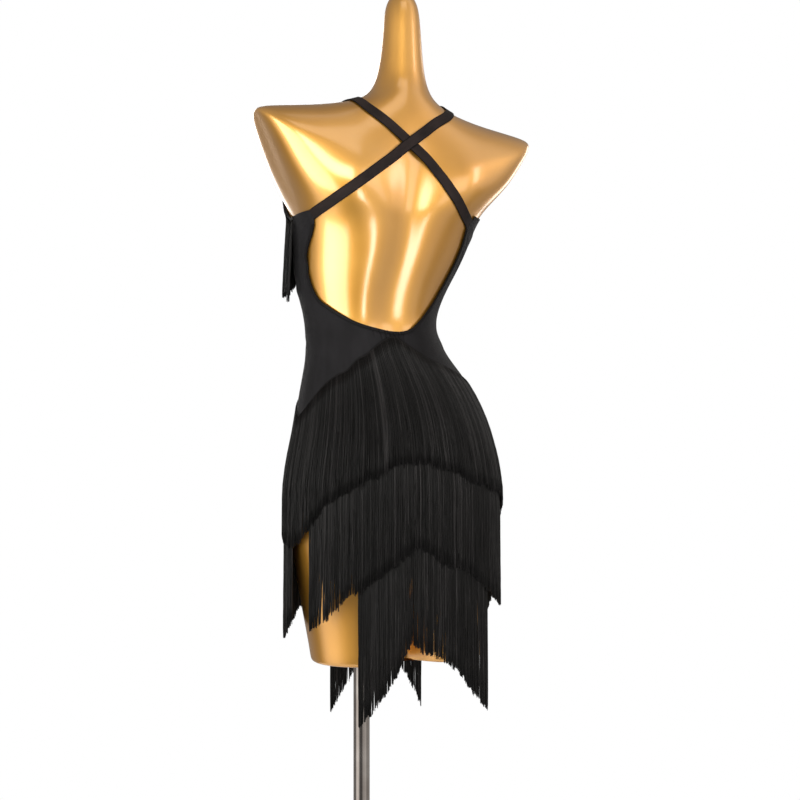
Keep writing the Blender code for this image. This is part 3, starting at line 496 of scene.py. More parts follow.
def carry_profile(name, path, profile, material, lift):
    """Closed profile of (sideways, outward) offsets carried along a path on the body.

    At each step the place is the body's point plus sideways times the path's side
    direction, plus outward and that step's lift times the body's normal.  The
    ends are filled.
    """
    point, out = cloth_frame(*path.T)
    along = np.gradient(point, axis=0)
    along /= np.linalg.norm(along, axis=1, keepdims=True)
    side = np.cross(out, along)
    side /= np.linalg.norm(side, axis=1, keepdims=True)
    shape = np.broadcast_to(profile[None], (len(path), len(profile), 2)).copy()
    shape[..., 1] += lift[:, None]
    points = point[:, None] + side[:, None] * shape[..., :1] + out[:, None] * shape[..., 1:]
    count = len(profile)
    quads = grid_faces(len(path), count, wrap=True)
    first = np.arange(count)[None, ::-1]
    last = np.arange(count)[None] + (len(path) - 1) * count
    length = np.concatenate([[0.0], np.cumsum(np.linalg.norm(np.diff(point, axis=0), axis=1))])
    uv = np.stack([np.broadcast_to(shape[..., 0], (len(path), count)),
                   np.broadcast_to(length[:, None], (len(path), count))], -1).reshape(-1, 2)
    sets = [quads, first, last]
    following = np.roll(profile, -1, axis=0)
    turned = np.sum(profile[:, 0] * following[:, 1] - following[:, 0] * profile[:, 1])
    if turned < 0:
        sets = [part[:, ::-1] for part in sets]
    corners = np.concatenate([part.ravel() for part in sets])
    return make_mesh(name, points.reshape(-1, 3), sets, material, uv[corners])


# Finishes

# Colours are linear
JERSEY_DARK = (0.0062, 0.0059, 0.0068)
JERSEY_LIGHT = (0.0145, 0.0138, 0.0158)
# The elastics' dark colours are also the painted shade at their rims
BINDING_DARK = (0.0006, 0.0005, 0.0005)
BINDING_LIGHT = (0.0085, 0.0078, 0.0086)
STRAP_DARK = (0.0006, 0.0005, 0.0005)
STRAP_LIGHT = (0.0360, 0.0240, 0.0225)
THREAD_DARK = (0.0007, 0.0007, 0.0007)
THREAD_MID = (0.0044, 0.0042, 0.0043)
THREAD_LIGHT = (0.0240, 0.0225, 0.0230)
GOLD_DEEP = (0.72, 0.345, 0.044)
GOLD_PALE = (0.79, 0.400, 0.066)
GOLD_ROUGHNESS = 0.36
CHROME_DEEP = (0.42, 0.38, 0.35)
CHROME_PALE = (0.58, 0.55, 0.52)
CHROME_ROUGHNESS = 0.06
# Knit: widths of a wale and a course, lean of a course into its V, heights of both
KNIT_WALE = 0.0007
KNIT_COURSE = 0.0006
KNIT_LEAN = 1.4
WALE_HEIGHT = 0.6
COURSE_HEIGHT = 0.4
ELASTIC_WALE = 0.0009
ELASTIC_COURSE = 0.0008
# Stitches of the elastics: place from the middle line, half width, pitch, share sewn
STITCH_IN = 0.0060
STITCH_HALF = 0.00035
STITCH_PITCH = 0.0030
STITCH_SHARE = 0.72
# Half width that stays light, and how softly the painted shade of the dark rim begins
BINDING_RIM_IN = 0.0021
STRAP_RIM_IN = 0.0072
RIM_SOFT = 0.0009
# Length of a thread in which its plies wind round once
PLY_PITCH = 0.0042


def socket_group(name, inputs, outputs):
    """Empty shader node group with named sockets, and its two end nodes."""
    group = bpy.data.node_groups.new(name, "ShaderNodeTree")
    for label, kind, value in inputs:
        made = group.interface.new_socket(label, in_out="INPUT", socket_type=kind)
        if value is not None:
            made.default_value = value
    for label, kind in outputs:
        group.interface.new_socket(label, in_out="OUTPUT", socket_type=kind)
    return group, group.nodes.new("NodeGroupInput"), group.nodes.new("NodeGroupOutput")


def math_node(nodes, operation, *values, clamp=False):
    """Math node whose inputs are numbers or sockets; returns its output socket."""
    node = nodes.new("ShaderNodeMath")
    node.operation = operation
    node.use_clamp = clamp
    for index, value in enumerate(values):
        if isinstance(value, bpy.types.NodeSocket):
            node.id_data.links.new(value, node.inputs[index])
        else:
            node.inputs[index].default_value = value
    return node.outputs[0]


def noise_node(nodes, vector, scale, detail=2.0, rough=0.5):
    """Noise texture read along a vector socket; returns its height socket."""
    node = nodes.new("ShaderNodeTexNoise")
    node.id_data.links.new(vector, node.inputs["Vector"])
    node.inputs["Scale"].default_value = scale
    node.inputs["Detail"].default_value = detail
    node.inputs["Roughness"].default_value = rough
    return node.outputs["Fac"]


def stretched_vector(nodes, vector, scale):
    """The vector times a scale of three numbers."""
    node = nodes.new("ShaderNodeVectorMath")
    node.operation = "MULTIPLY"
    node.id_data.links.new(vector, node.inputs[0])
    node.inputs[1].default_value = scale
    return node.outputs[0]


def knit_group():
    """Stretch knit on a UV map in metres.

    Wales run up the cloth and courses across it: each loop's height is the sine
    of the wale, leaned by the course into a V, and slow noise thins the cloth.
    """
    group, enter, leave = socket_group(
        "stretch_knit", (("UV", "NodeSocketVector", None), ("Wale", "NodeSocketFloat", KNIT_WALE),
                         ("Course", "NodeSocketFloat", KNIT_COURSE)),
        (("Height", "NodeSocketFloat"), ("Shade", "NodeSocketFloat")))
    nodes, links = group.nodes, group.links
    split = nodes.new("ShaderNodeSeparateXYZ")
    links.new(enter.outputs["UV"], split.inputs[0])
    turn = 2 * math.pi
    wale = math_node(nodes, "DIVIDE", math_node(nodes, "MULTIPLY", split.outputs[0], turn),
                     enter.outputs["Wale"])
    course = math_node(nodes, "DIVIDE", math_node(nodes, "MULTIPLY", split.outputs[1], turn),
                       enter.outputs["Course"])
    column = math_node(nodes, "SINE", wale)
    lean = math_node(nodes, "ADD", course, math_node(nodes, "MULTIPLY", column, KNIT_LEAN))
    loop = math_node(nodes, "SINE", lean)
    height = math_node(nodes, "ADD", math_node(nodes, "MULTIPLY", column, WALE_HEIGHT),
                       math_node(nodes, "MULTIPLY", loop, COURSE_HEIGHT))
    slow = noise_node(nodes, stretched_vector(nodes, enter.outputs["UV"], (1.0, 0.45, 1.0)),
                      38.0, 3.0, 0.55)
    # The shade is mostly the slow noise, plus a tenth of the loops' height as painted shade in
    # their hollows
    shade = math_node(nodes, "ADD", math_node(nodes, "MULTIPLY", height, 0.10),
                      math_node(nodes, "MULTIPLY", slow, 0.9), clamp=True)
    links.new(height, leave.inputs["Height"])
    links.new(shade, leave.inputs["Shade"])
    return group


def wear_group():
    """Slow cloudy shade and fine scratches on a hard glossy surface, by object place."""
    group, enter, leave = socket_group(
        "handling_marks", (("Vector", "NodeSocketVector", None),
                           ("Cloud Scale", "NodeSocketFloat", 9.0)),
        (("Cloud", "NodeSocketFloat"), ("Specks", "NodeSocketFloat")))
    nodes, links = group.nodes, group.links
    cloud = nodes.new("ShaderNodeTexNoise")
    links.new(enter.outputs["Vector"], cloud.inputs["Vector"])
    links.new(enter.outputs["Cloud Scale"], cloud.inputs["Scale"])
    cloud.inputs["Detail"].default_value = 3.0
    specks = noise_node(nodes, enter.outputs["Vector"], 900.0, 2.0, 0.6)
    raised = math_node(nodes, "MULTIPLY", math_node(nodes, "SUBTRACT", specks, 0.66), 8.0,
                       clamp=True)
    links.new(cloud.outputs["Fac"], leave.inputs["Cloud"])
    links.new(raised, leave.inputs["Specks"])
    return group


def new_material(name):
    """Material with its shader and a place to read from."""
    material = bpy.data.materials.new(name)
    material.use_nodes = True
    tree = material.node_tree
    return material, tree.nodes, tree.links, tree.nodes["Principled BSDF"]


def colour_ramp(nodes, links, factor, stops):
    """Colours eased between (place, colour) stops by a factor socket."""
    ramp = nodes.new("ShaderNodeValToRGB")
    ramp.color_ramp.interpolation = "EASE"
    while len(ramp.color_ramp.elements) < len(stops):
        ramp.color_ramp.elements.new(0.5)
    for element, (place, colour) in zip(ramp.color_ramp.elements, stops):
        element.position = place
        element.color = (*colour, 1.0)
    links.new(factor, ramp.inputs[0])
    return ramp.outputs[0]


def bump_into(nodes, links, shader, height, distance, strength=1.0):
    """Bump of a height socket, in metres, on a shader's normal."""
    bump = nodes.new("ShaderNodeBump")
    bump.inputs["Distance"].default_value = distance
    bump.inputs["Strength"].default_value = strength
    links.new(height, bump.inputs["Height"])
    links.new(bump.outputs[0], shader.inputs["Normal"])


def add_group(nodes, group):
    """A node group placed in a material."""
    node = nodes.new("ShaderNodeGroup")
    node.node_tree = group
    return node


def cloth_places(nodes):
    """Pattern places on a cloth piece, from its own UV map in metres."""
    uv = nodes.new("ShaderNodeUVMap")
    uv.uv_map = "cloth"
    return uv


def jersey_material(knit):
    """Matte black stretch jersey with a faint grey bloom."""
    material, nodes, links, shader = new_material("black_jersey_knit")
    uv = cloth_places(nodes)
    loops = add_group(nodes, knit)
    links.new(uv.outputs[0], loops.inputs["UV"])
    colour = colour_ramp(nodes, links, loops.outputs["Shade"],
                         ((0.15, JERSEY_DARK), (0.85, JERSEY_LIGHT)))
    links.new(colour, shader.inputs["Base Color"])
    shader.inputs["Roughness"].default_value = 0.72
    shader.inputs["Sheen Weight"].default_value = 0.02
    shader.inputs["Sheen Roughness"].default_value = 0.45
    shader.inputs["Specular IOR Level"].default_value = 0.16
    bump_into(nodes, links, shader, loops.outputs["Height"], 0.00012, 0.6)
    return material


def elastic_material(name, knit, dark, light, rim_in):
    """Black elastic: ribs along it, a row of stitches near each edge, painted shade at the rims."""
    material, nodes, links, shader = new_material(name)
    uv = cloth_places(nodes)
    split = nodes.new("ShaderNodeSeparateXYZ")
    links.new(uv.outputs[0], split.inputs[0])
    loops = add_group(nodes, knit)
    links.new(uv.outputs[0], loops.inputs["UV"])
    loops.inputs["Wale"].default_value = ELASTIC_WALE
    loops.inputs["Course"].default_value = ELASTIC_COURSE
    across = math_node(nodes, "ABSOLUTE", split.outputs[0])
    line = math_node(nodes, "SUBTRACT", 1.0, math_node(
        nodes, "DIVIDE", math_node(nodes, "ABSOLUTE", math_node(
            nodes, "SUBTRACT", across, STITCH_IN)), STITCH_HALF), clamp=True)
    step = math_node(nodes, "FRACT", math_node(nodes, "DIVIDE", split.outputs[1], STITCH_PITCH))
    thread = math_node(nodes, "MULTIPLY", line, math_node(nodes, "LESS_THAN", step, STITCH_SHARE))
    groove = math_node(nodes, "SUBTRACT", math_node(nodes, "MULTIPLY", thread, 1.6), line)
    height = math_node(nodes, "ADD", math_node(nodes, "MULTIPLY", loops.outputs["Height"], 0.25),
                       groove)
    # The stitches' height goes into the shade too: painted shade in the holes between stitches,
    # painted highlight on the raised thread
    shade = math_node(nodes, "ADD", math_node(nodes, "MULTIPLY", loops.outputs["Shade"], 0.7),
                      math_node(nodes, "MULTIPLY", groove, 0.5), clamp=True)
    # Painted shade: towards each rim the colour falls to its dark end
    inside = math_node(nodes, "DIVIDE", math_node(nodes, "SUBTRACT", rim_in, across),
                       RIM_SOFT, clamp=True)
    shade = math_node(nodes, "MULTIPLY", shade, inside)
    colour = colour_ramp(nodes, links, shade, ((0.0, dark), (0.7, light)))
    links.new(colour, shader.inputs["Base Color"])
    shader.inputs["Roughness"].default_value = 0.66
    shader.inputs["Sheen Weight"].default_value = 0.015
    shader.inputs["Specular IOR Level"].default_value = 0.16
    bump_into(nodes, links, shader, height, 0.00022, 0.7)
    return material


def thread_material():
    """Twisted rayon thread: plies wind round each strand, strands differ in shade."""
    material, nodes, links, shader = new_material("black_rayon_thread")
    uv = cloth_places(nodes)
    split = nodes.new("ShaderNodeSeparateXYZ")
    links.new(uv.outputs[0], split.inputs[0])
    tone = nodes.new("ShaderNodeAttribute")
    tone.attribute_name = "tone"
    turn = 2 * math.pi
    around = math_node(nodes, "MULTIPLY", split.outputs[0], 2 * turn)
    wind = math_node(nodes, "MULTIPLY", split.outputs[1], turn / PLY_PITCH)
    ply = math_node(nodes, "SINE", math_node(nodes, "ADD", around, wind))
    # The plies' wind goes into the shade too: painted shade between the plies, painted highlight on
    # their ridges
    shade = math_node(nodes, "ADD", tone.outputs["Fac"], math_node(nodes, "MULTIPLY", ply, 0.10),
                      clamp=True)
    colour = colour_ramp(nodes, links, shade, ((0.0, THREAD_DARK), (0.75, THREAD_MID),
                                               (1.0, THREAD_LIGHT)))
    links.new(colour, shader.inputs["Base Color"])
    rough = math_node(nodes, "SUBTRACT", 0.62, math_node(nodes, "MULTIPLY", shade, 0.16))
    links.new(rough, shader.inputs["Roughness"])
    shader.inputs["Specular IOR Level"].default_value = 0.20
    shader.inputs["Sheen Weight"].default_value = 0.01
    bump_into(nodes, links, shader, ply, 0.00006, 0.4)
    return material


def gold_material(marks):
    """Plated gold shell under clear lacquer, with a slow shift of tint."""
    material, nodes, links, shader = new_material("champagne_gold_plate")
    place = nodes.new("ShaderNodeTexCoord")
    worn = add_group(nodes, marks)
    links.new(place.outputs["Object"], worn.inputs["Vector"])
    worn.inputs["Cloud Scale"].default_value = 7.0
    colour = colour_ramp(nodes, links, worn.outputs["Cloud"],
                         ((0.30, GOLD_DEEP), (0.70, GOLD_PALE)))
    links.new(colour, shader.inputs["Base Color"])
    shader.inputs["Metallic"].default_value = 0.88
    rough = math_node(nodes, "ADD", GOLD_ROUGHNESS, math_node(
        nodes, "ADD", math_node(nodes, "MULTIPLY", worn.outputs["Cloud"], 0.06),
        math_node(nodes, "MULTIPLY", worn.outputs["Specks"], 0.10)))
    links.new(rough, shader.inputs["Roughness"])
    shader.inputs["Coat Weight"].default_value = 1.0
    shader.inputs["Coat Roughness"].default_value = 0.18
    shader.inputs["Coat IOR"].default_value = 1.9
    bump_into(nodes, links, shader, worn.outputs["Cloud"], 0.0006, 0.25)
    return material


def chrome_material(marks):
    """Chrome plate with faint cloudy handling marks."""
    material, nodes, links, shader = new_material("chrome_plate")
    place = nodes.new("ShaderNodeTexCoord")
    worn = add_group(nodes, marks)
    links.new(place.outputs["Object"], worn.inputs["Vector"])
    worn.inputs["Cloud Scale"].default_value = 30.0
    colour = colour_ramp(nodes, links, worn.outputs["Cloud"],
                         ((0.2, CHROME_DEEP), (0.8, CHROME_PALE)))
    links.new(colour, shader.inputs["Base Color"])
    shader.inputs["Metallic"].default_value = 1.0
    rough = math_node(nodes, "ADD", CHROME_ROUGHNESS,
                      math_node(nodes, "MULTIPLY", worn.outputs["Cloud"], 0.12))
    links.new(rough, shader.inputs["Roughness"])
    return material


KNIT = knit_group()
MARKS = wear_group()
JERSEY = jersey_material(KNIT)
ELASTIC = elastic_material("black_fold_over_elastic", KNIT, BINDING_DARK, BINDING_LIGHT,
                           BINDING_RIM_IN)
STRAPPING = elastic_material("black_strap_elastic", KNIT, STRAP_DARK, STRAP_LIGHT, STRAP_RIM_IN)
THREAD = thread_material()
GOLD = gold_material(MARKS)
CHROME = chrome_material(MARKS)


# Dress panels

# Degrees between each panel's edge and the seam's line
SEAM_GAP = 0.06
# A crease bows aside by this share of its length, and fades in and out along it
CREASE_BOW = 0.06
CREASE_FADES = (-0.15, 0.30, 0.60, 1.15)
# Grids of the panels; rows crowd towards the upper edge by these powers
BACK_SIDE, BACK_ACROSS, BACK_ROWS = 80, 240, 66
FRONT_ACROSS, FRONT_ROWS = 230, 110
SEAM_CROWDING = 1.25
BACK_CROWDING = 1.5
FRONT_CROWDING = 1.15


def crease_rise(degrees, height):
    """Sum of the listed creases.

    Each is a bell across its own slightly bowed line, and a hump along it that
    dies out softly at both ends.
    """
    place = np.stack([degrees, height], -1) * METRIC
    total = np.zeros(degrees.shape)
    for start_angle, start_height, end_angle, end_height, half, rise in CREASES:
        start = np.array([start_angle, start_height]) * METRIC
        line = np.array([end_angle, end_height]) * METRIC - start
        length = np.linalg.norm(line)
        line /= length
        along = (place - start) @ line
        bow = CREASE_BOW * length * np.sin(math.pi * np.clip(along / length, 0.0, 1.0))
        away = (place - start) @ np.array([-line[1], line[0]]) - bow
        fade = fade_between(along, *(share * length for share in CREASE_FADES))
        total += rise * np.exp(-(away / half) ** 2) * fade
    return total


def cloth_uv(degrees, height):
    """Pattern places in metres, wales up the body."""
    return np.stack([degrees * METRES_PER_DEGREE, height], -1)


def dress_panel(name, upper, lower, shares):
    """Thin cloth ruled between an upper and a lower edge, with its creases."""
    share = shares[:, None, None]
    grid = upper[None] * (1 - share) + lower[None] * share
    degrees, height = grid[..., 0], grid[..., 1]
    rise = crease_rise(degrees, height)
    point, out = cloth_frame(degrees, height)
    outer = point + out * (CLOTH_OUTSIDE + rise)[..., None]
    inner = point + out * (CLOTH_INSIDE + rise)[..., None]
    return make_shell(name, inner, outer, cloth_uv(degrees, height), JERSEY)


def seam_edge(top, hem, shares):
    """Side seam from its top to the hem, as (angle, height)."""
    return np.array(top) + (np.array(hem) - np.array(top)) * shares[:, None]


def build_back():
    """Back panel, ruled from its deep opening out to the seams and the hem."""
    left, bottom, right = opening_edge()
    down = np.linspace(0.0, 1.0, BACK_SIDE + 1) ** SEAM_CROWDING
    upper = np.vstack([every(left, BACK_SIDE + 1), every(bottom, BACK_ACROSS + 1)[1:-1],
                       every(right, BACK_SIDE + 1)])
    degrees = np.linspace(0.0, 180.0, BACK_ACROSS + 1)
    hem = np.stack([degrees, by_angle(BACK_HEM, degrees)[0]], -1)
    lower = np.vstack([
        seam_edge(SIDE_SEAMS["left_top"], SIDE_SEAMS["left_hem"], down), hem[1:-1],
        seam_edge(SIDE_SEAMS["right_top"], SIDE_SEAMS["right_hem"], down)[::-1]])
    lower[:, 0] += np.where(lower[:, 0] < 90.0, SEAM_GAP, -SEAM_GAP)
    shares = np.linspace(0.0, 1.0, BACK_ROWS) ** BACK_CROWDING
    return dress_panel("dress_back_cloth", upper, lower, shares)


def build_front():
    """Front panel, ruled from its neckline down to the hem, columns seam to seam."""
    upper = smooth_path(NECKLINE, 900)
    share = np.linspace(0.0, 1.0, FRONT_ACROSS + 1)
    right_top = SIDE_SEAMS["right_top"][0] - 360.0
    left_top = SIDE_SEAMS["left_top"][0]
    top_angle = left_top - SEAM_GAP + share * (right_top - left_top + 2 * SEAM_GAP)
    hem_angle = -SEAM_GAP - share * (180.0 - 2 * SEAM_GAP)
    top = np.stack([top_angle, np.interp(-top_angle, -upper[:, 0], upper[:, 1])], -1)
    hem = np.stack([hem_angle, by_angle(FRONT_HEM, hem_angle)[0]], -1)
    shares = np.linspace(0.0, 1.0, FRONT_ROWS) ** FRONT_CROWDING
    return dress_panel("dress_front_cloth", top, hem, shares)


# Bindings and straps

BINDING_WIDTH = 0.0052
BINDING_THICKNESS = 0.0017
# The binding's middle lies this far inside the cloth's edge, and this far above it
BINDING_SHOWN = 0.0019
BINDING_ABOVE = 0.00062
# Gathers of the binding: rise, and the lengths of its two ripples
GATHER_RISE = 0.00042
GATHER_LONG = 0.0083
GATHER_SHORT = 0.0052
# Half widths in degrees of the gathers at the foot of the opening and in the valley of
# the neckline, and the height above which the opening has none
FOOT_HALF = 17.0
VALLEY_HALF = 10.0
FOOT_HEIGHT = 1.16
STRAP_THICK = 0.0012
STRAP_LIFT = 0.0021
# Where the straps cross, half the stretch lifted there, the share of it over which the
# lift comes in, and the lift
CROSSING_ANGLE = 87.3
CROSSING_HALF = 13.0
CROSSING_FULL = 0.45
STRAP_OVER = 0.0019
# Rolled rim of a strap and the groove inside it: place and half width as shares of
# the strap's half width, and rise or depth
RIM_PLACE, RIM_HALF, RIM_RISE = 0.90, 0.07, 0.00022
GROOVE_PLACE, GROOVE_HALF, GROOVE_DEPTH = 0.74, 0.05, 0.00020


def rounded_band(width, thickness, steps=9):
    """Closed profile of a soft-edged band: half ovals joined by a flat top and base."""
    half, deep = width / 2, thickness / 2
    turn = np.linspace(-math.pi / 2, math.pi / 2, steps)
    right = np.stack([half - deep + deep * np.cos(turn), deep * np.sin(turn)], -1)
    return np.vstack([right, -right])


def build_binding(name, path, side, slack):
    """Fold-over elastic along an edge, gathered a little where it rounds the foot."""
    length = np.concatenate([[0.0], np.cumsum(
        np.linalg.norm(np.diff(path, axis=0) * METRIC, axis=1))])
    turns = length * 2 * math.pi
    ripple = np.sin(turns / GATHER_SHORT) + 0.6 * np.sin(turns / GATHER_LONG)
    lift = CLOTH_OUTSIDE + BINDING_ABOVE + GATHER_RISE * ripple * slack
    along = np.gradient(path, axis=0) * METRIC
    along /= np.linalg.norm(along, axis=1, keepdims=True)
    inward = np.stack([along[:, 1], -along[:, 0]], -1) * side
    moved = path + inward * BINDING_SHOWN / METRIC
    profile = rounded_band(BINDING_WIDTH, BINDING_THICKNESS)
    return carry_profile(name, moved, profile, ELASTIC,
                         lift + crease_rise(*path.T))


def build_bindings():
    """Elastic round the back's opening and along the neckline."""
    opening = np.vstack(opening_edge())
    back = every(opening[30:-30], 620)
    foot = np.exp(-((back[:, 0] - 90.0) / FOOT_HALF) ** 2) * (back[:, 1] < FOOT_HEIGHT)
    neckline = every(smooth_path(NECKLINE, 700)[6:-6], 520)
    valley = np.exp(-((neckline[:, 0] + 90.0) / VALLEY_HALF) ** 2)
    return (build_binding("back_opening_elastic", back, 1.0, foot),
            build_binding("neckline_elastic", neckline, -1.0, valley))


def build_strap(name, table, over):
    """Flat strap carried over the shoulder; the upper one is lifted at the crossing."""
    path = smooth_path(table, 221)
    lift = np.full(len(path), STRAP_LIFT)
    if over:
        near = 1 - np.abs(path[:, 0] - CROSSING_ANGLE) / CROSSING_HALF
        lift += STRAP_OVER * smooth_step(near, 0.0, CROSSING_FULL)
    return carry_profile(name, path, strap_profile(), STRAPPING, lift)


def strap_profile():
    """Strap's section: a flat oval whose top has a rolled rim and a groove at each edge."""
    half = STRAP_WIDTH / 2
    across = np.linspace(-1.0, 1.0, 21)
    rim = np.exp(-((np.abs(across) - RIM_PLACE) / RIM_HALF) ** 2)
    groove = np.exp(-((np.abs(across) - GROOVE_PLACE) / GROOVE_HALF) ** 2)
    top = STRAP_THICK / 2 * np.sqrt(np.clip(1 - np.abs(across) ** 14, 0.0, 1.0))
    top = top + RIM_RISE * rim - GROOVE_DEPTH * groove
    upper = np.stack([across * half, top], -1)
    lower = np.stack([across[1:-1] * half, -np.full(len(across) - 2, STRAP_THICK / 2)], -1)
    return np.vstack([upper, lower[::-1]])


# Fringe

STRAND_STEPS = 11
STRAND_SIDES = 3
STRAND_RADIUS = 0.00062
STRAND_PITCH = 0.00034
BUST_PITCH = 0.00044
# Strands to a clump, which lean together, and to a bunch, which are cut together
CLUMP_STRANDS = 5
BUNCH_STRANDS = 6
# How far the tips of a clump are drawn together, and lean aside in degrees
CLUMP_DRAWN = 0.5
CLUMP_SWING = 0.20
# Sideways waves of a strand, in degrees and in waves to its length
WANDER = (0.06, 0.26)
WAVES = (0.8, 2.2)
RIPPLE_DEPTH = 0.0005
# Shade of the strands: middle, spread by clump and by strand
TONE_MIDDLE = 0.44
TONE_BY_CLUMP = 0.24
TONE_BY_STRAND = 0.26
# Unevenness of the tips by bunch and by strand, and the strands that fall short
UNEVEN_BUNCH = 0.0022
UNEVEN_STRAND = 0.0010
SHORT_SHARE = 0.08
SHORT_BY = (0.001, 0.007)
# Sparse places: row, middle angle, half width in degrees, share of strands left
THIN_PLACES = (
    ("fringe_back_2", 37.0, 9.0, 0.90), ("fringe_back_3", 125.0, 3.0, 0.70),
    ("fringe_front_3", -72.0, 3.0, 0.70), ("fringe_front_3", -118.0, 3.0, 0.70),
    ("fringe_bust_left", -12.0, 5.0, 0.16),
)
# Header tape that a row's strands are knitted into
HEADER_WIDTH = 0.0050
HEADER_THICKNESS = 0.0012
HEADER_LIFT = 0.0036
# Bust fringe: its start and thickness, out from the body, and how far it swings out
# over its fall; on a cup it hangs straight from its widest place
BUST_FRINGE_START = 0.0056
BUST_FRINGE_SPREAD = 0.0022
BUST_FRINGE_SWING = 0.0060
BUST_FRINGE_FALL = 0.14
CUP_FADES = (24.0, 42.0)
# Thickness of strands, and how much of it the tips lose
STRAND_SIZES = (0.8, 1.15)
TIP_TAPER = 0.25
# A strand's ripple in and out starts at another phase than its sideways wave
RIPPLE_LAG = 1.7


def fringe_depth(level, fall):
    """A row starts on the dress and rises clear of the row beneath it."""
    lift = FRINGE_DEPTH[level] - FRINGE_START
    return FRINGE_START + lift * smooth_step(fall, *FRINGE_RISE[level])


def spaced(length, pitch):
    """Places along a length, a pitch apart with a little jitter."""
    count = int(length / pitch)
    return (np.arange(count) + 0.5 + RANDOM.uniform(-0.4, 0.4, count)) * pitch


def strand_places(table):
    """Angles of a row's strands, evenly spaced along its sewn line."""
    ends = sorted((table[0][0], table[-1][0]))
    degrees = np.linspace(ends[0] + 0.3, ends[1] - 0.3, 900)
    line = cloth_point(degrees, by_angle(table, degrees)[0], np.zeros(len(degrees)))
    step = np.linalg.norm(np.diff(line, axis=0), axis=1)
    length = np.concatenate([[0.0], np.cumsum(step)])
    return np.interp(spaced(length[-1], STRAND_PITCH), length, degrees)


def hang_strands(degrees, sewn, tip, depth_of, reach, widest=HIP_HEIGHT):
    """Paths, radii and tones of strands that hang straight down from their tape.

    Each has a slow sideways wave that grows downwards, leans with its clump and is
    drawn towards the clump's middle near the tips.
    """
    count = len(degrees)
    share = np.linspace(0.0, 1.0, STRAND_STEPS)[None]
    clump = np.cumsum(RANDOM.uniform(0.0, 1.0, count) < 1 / CLUMP_STRANDS)
    middles = np.bincount(clump, degrees) / np.maximum(np.bincount(clump), 1)
    loose = RANDOM.uniform(0.0, CLUMP_DRAWN, clump[-1] + 1)[clump]
    drawn = (middles[clump] - degrees) * loose
    swing = RANDOM.normal(0.0, CLUMP_SWING, clump[-1] + 1)[clump]
    phase = RANDOM.uniform(0, 2 * math.pi, (count, 1))
    waves = RANDOM.uniform(*WAVES, (count, 1))
    amount = RANDOM.uniform(*WANDER, (count, 1))
    wander = amount * share * np.sin(2 * math.pi * waves * share + phase)
    wide = degrees[:, None] + drawn[:, None] * share ** 5 + swing[:, None] * share ** 3 + wander
    height = sewn[:, None] + (tip - sewn)[:, None] * share
    layer = RANDOM.uniform(0.0, 1.0, (count, 1)) * (0.35 + 0.65 * share)
    ripple = RIPPLE_DEPTH * share * np.cos(2 * math.pi * waves * share + RIPPLE_LAG * phase)
    depth = depth_of(sewn[:, None] - height) + reach * layer + ripple
    paths = cloth_point(wide, height, depth, widest)
    radius = np.broadcast_to(STRAND_RADIUS * RANDOM.uniform(*STRAND_SIZES, (count, 1)),
                             wide.shape) * (1 - TIP_TAPER * share ** 8)
    tone = TONE_MIDDLE + TONE_BY_CLUMP * RANDOM.normal(0, 1, clump[-1] + 1)[clump]
    tone = np.clip(tone + TONE_BY_STRAND * RANDOM.normal(0, 1, count), 0.0, 1.0)
    return paths, radius, tone


def ragged(count):
    """Lengths differ strand by strand and bunch by bunch, and a few fall well short."""
    bunch = np.cumsum(RANDOM.uniform(0.0, 1.0, count) < 1 / BUNCH_STRANDS)
    short = RANDOM.uniform(0, 1, count) < SHORT_SHARE
    return (RANDOM.normal(0.0, UNEVEN_BUNCH, bunch[-1] + 1)[bunch]
            + RANDOM.normal(0.0, UNEVEN_STRAND, count) + short * RANDOM.uniform(*SHORT_BY, count))


def thin_out(degrees, name):
    """Drops strands where a row is sparse; True keeps a strand."""
    keep = np.full(degrees.shape, 1.0)
    for row, middle, half, left in THIN_PLACES:
        if row == name:
            keep *= 1 - (1 - left) * np.exp(-((degrees - middle) / half) ** 2)
    return RANDOM.uniform(0, 1, len(degrees)) < keep


def build_fringe(name, table):
    """One hanging row: its strands, and the header tape that they are knitted into."""
    degrees = strand_places(table)
    degrees = degrees[thin_out(degrees, name)]
    sewn, tip = by_angle(table, degrees)
    level = int(name[-1])
    tip = tip + ragged(len(degrees))
    paths, radius, tone = hang_strands(degrees, sewn, tip,
                                       lambda fall: fringe_depth(level, fall), FRINGE_SPREAD)
    strands = make_tubes(name + "_strands", paths, STRAND_SIDES, radius, THREAD,
                         tone)
    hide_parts(name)
    angles = np.linspace(degrees.min(), degrees.max(), 260)
    if table[-1][0] < table[0][0]:
        angles = angles[::-1]
    line = np.stack([angles, by_angle(table, angles)[0]], -1)
    header = carry_profile(name + "_header", line, rounded_band(HEADER_WIDTH, HEADER_THICKNESS),
                           ELASTIC, np.full(len(line), HEADER_LIFT))
    return strands, header


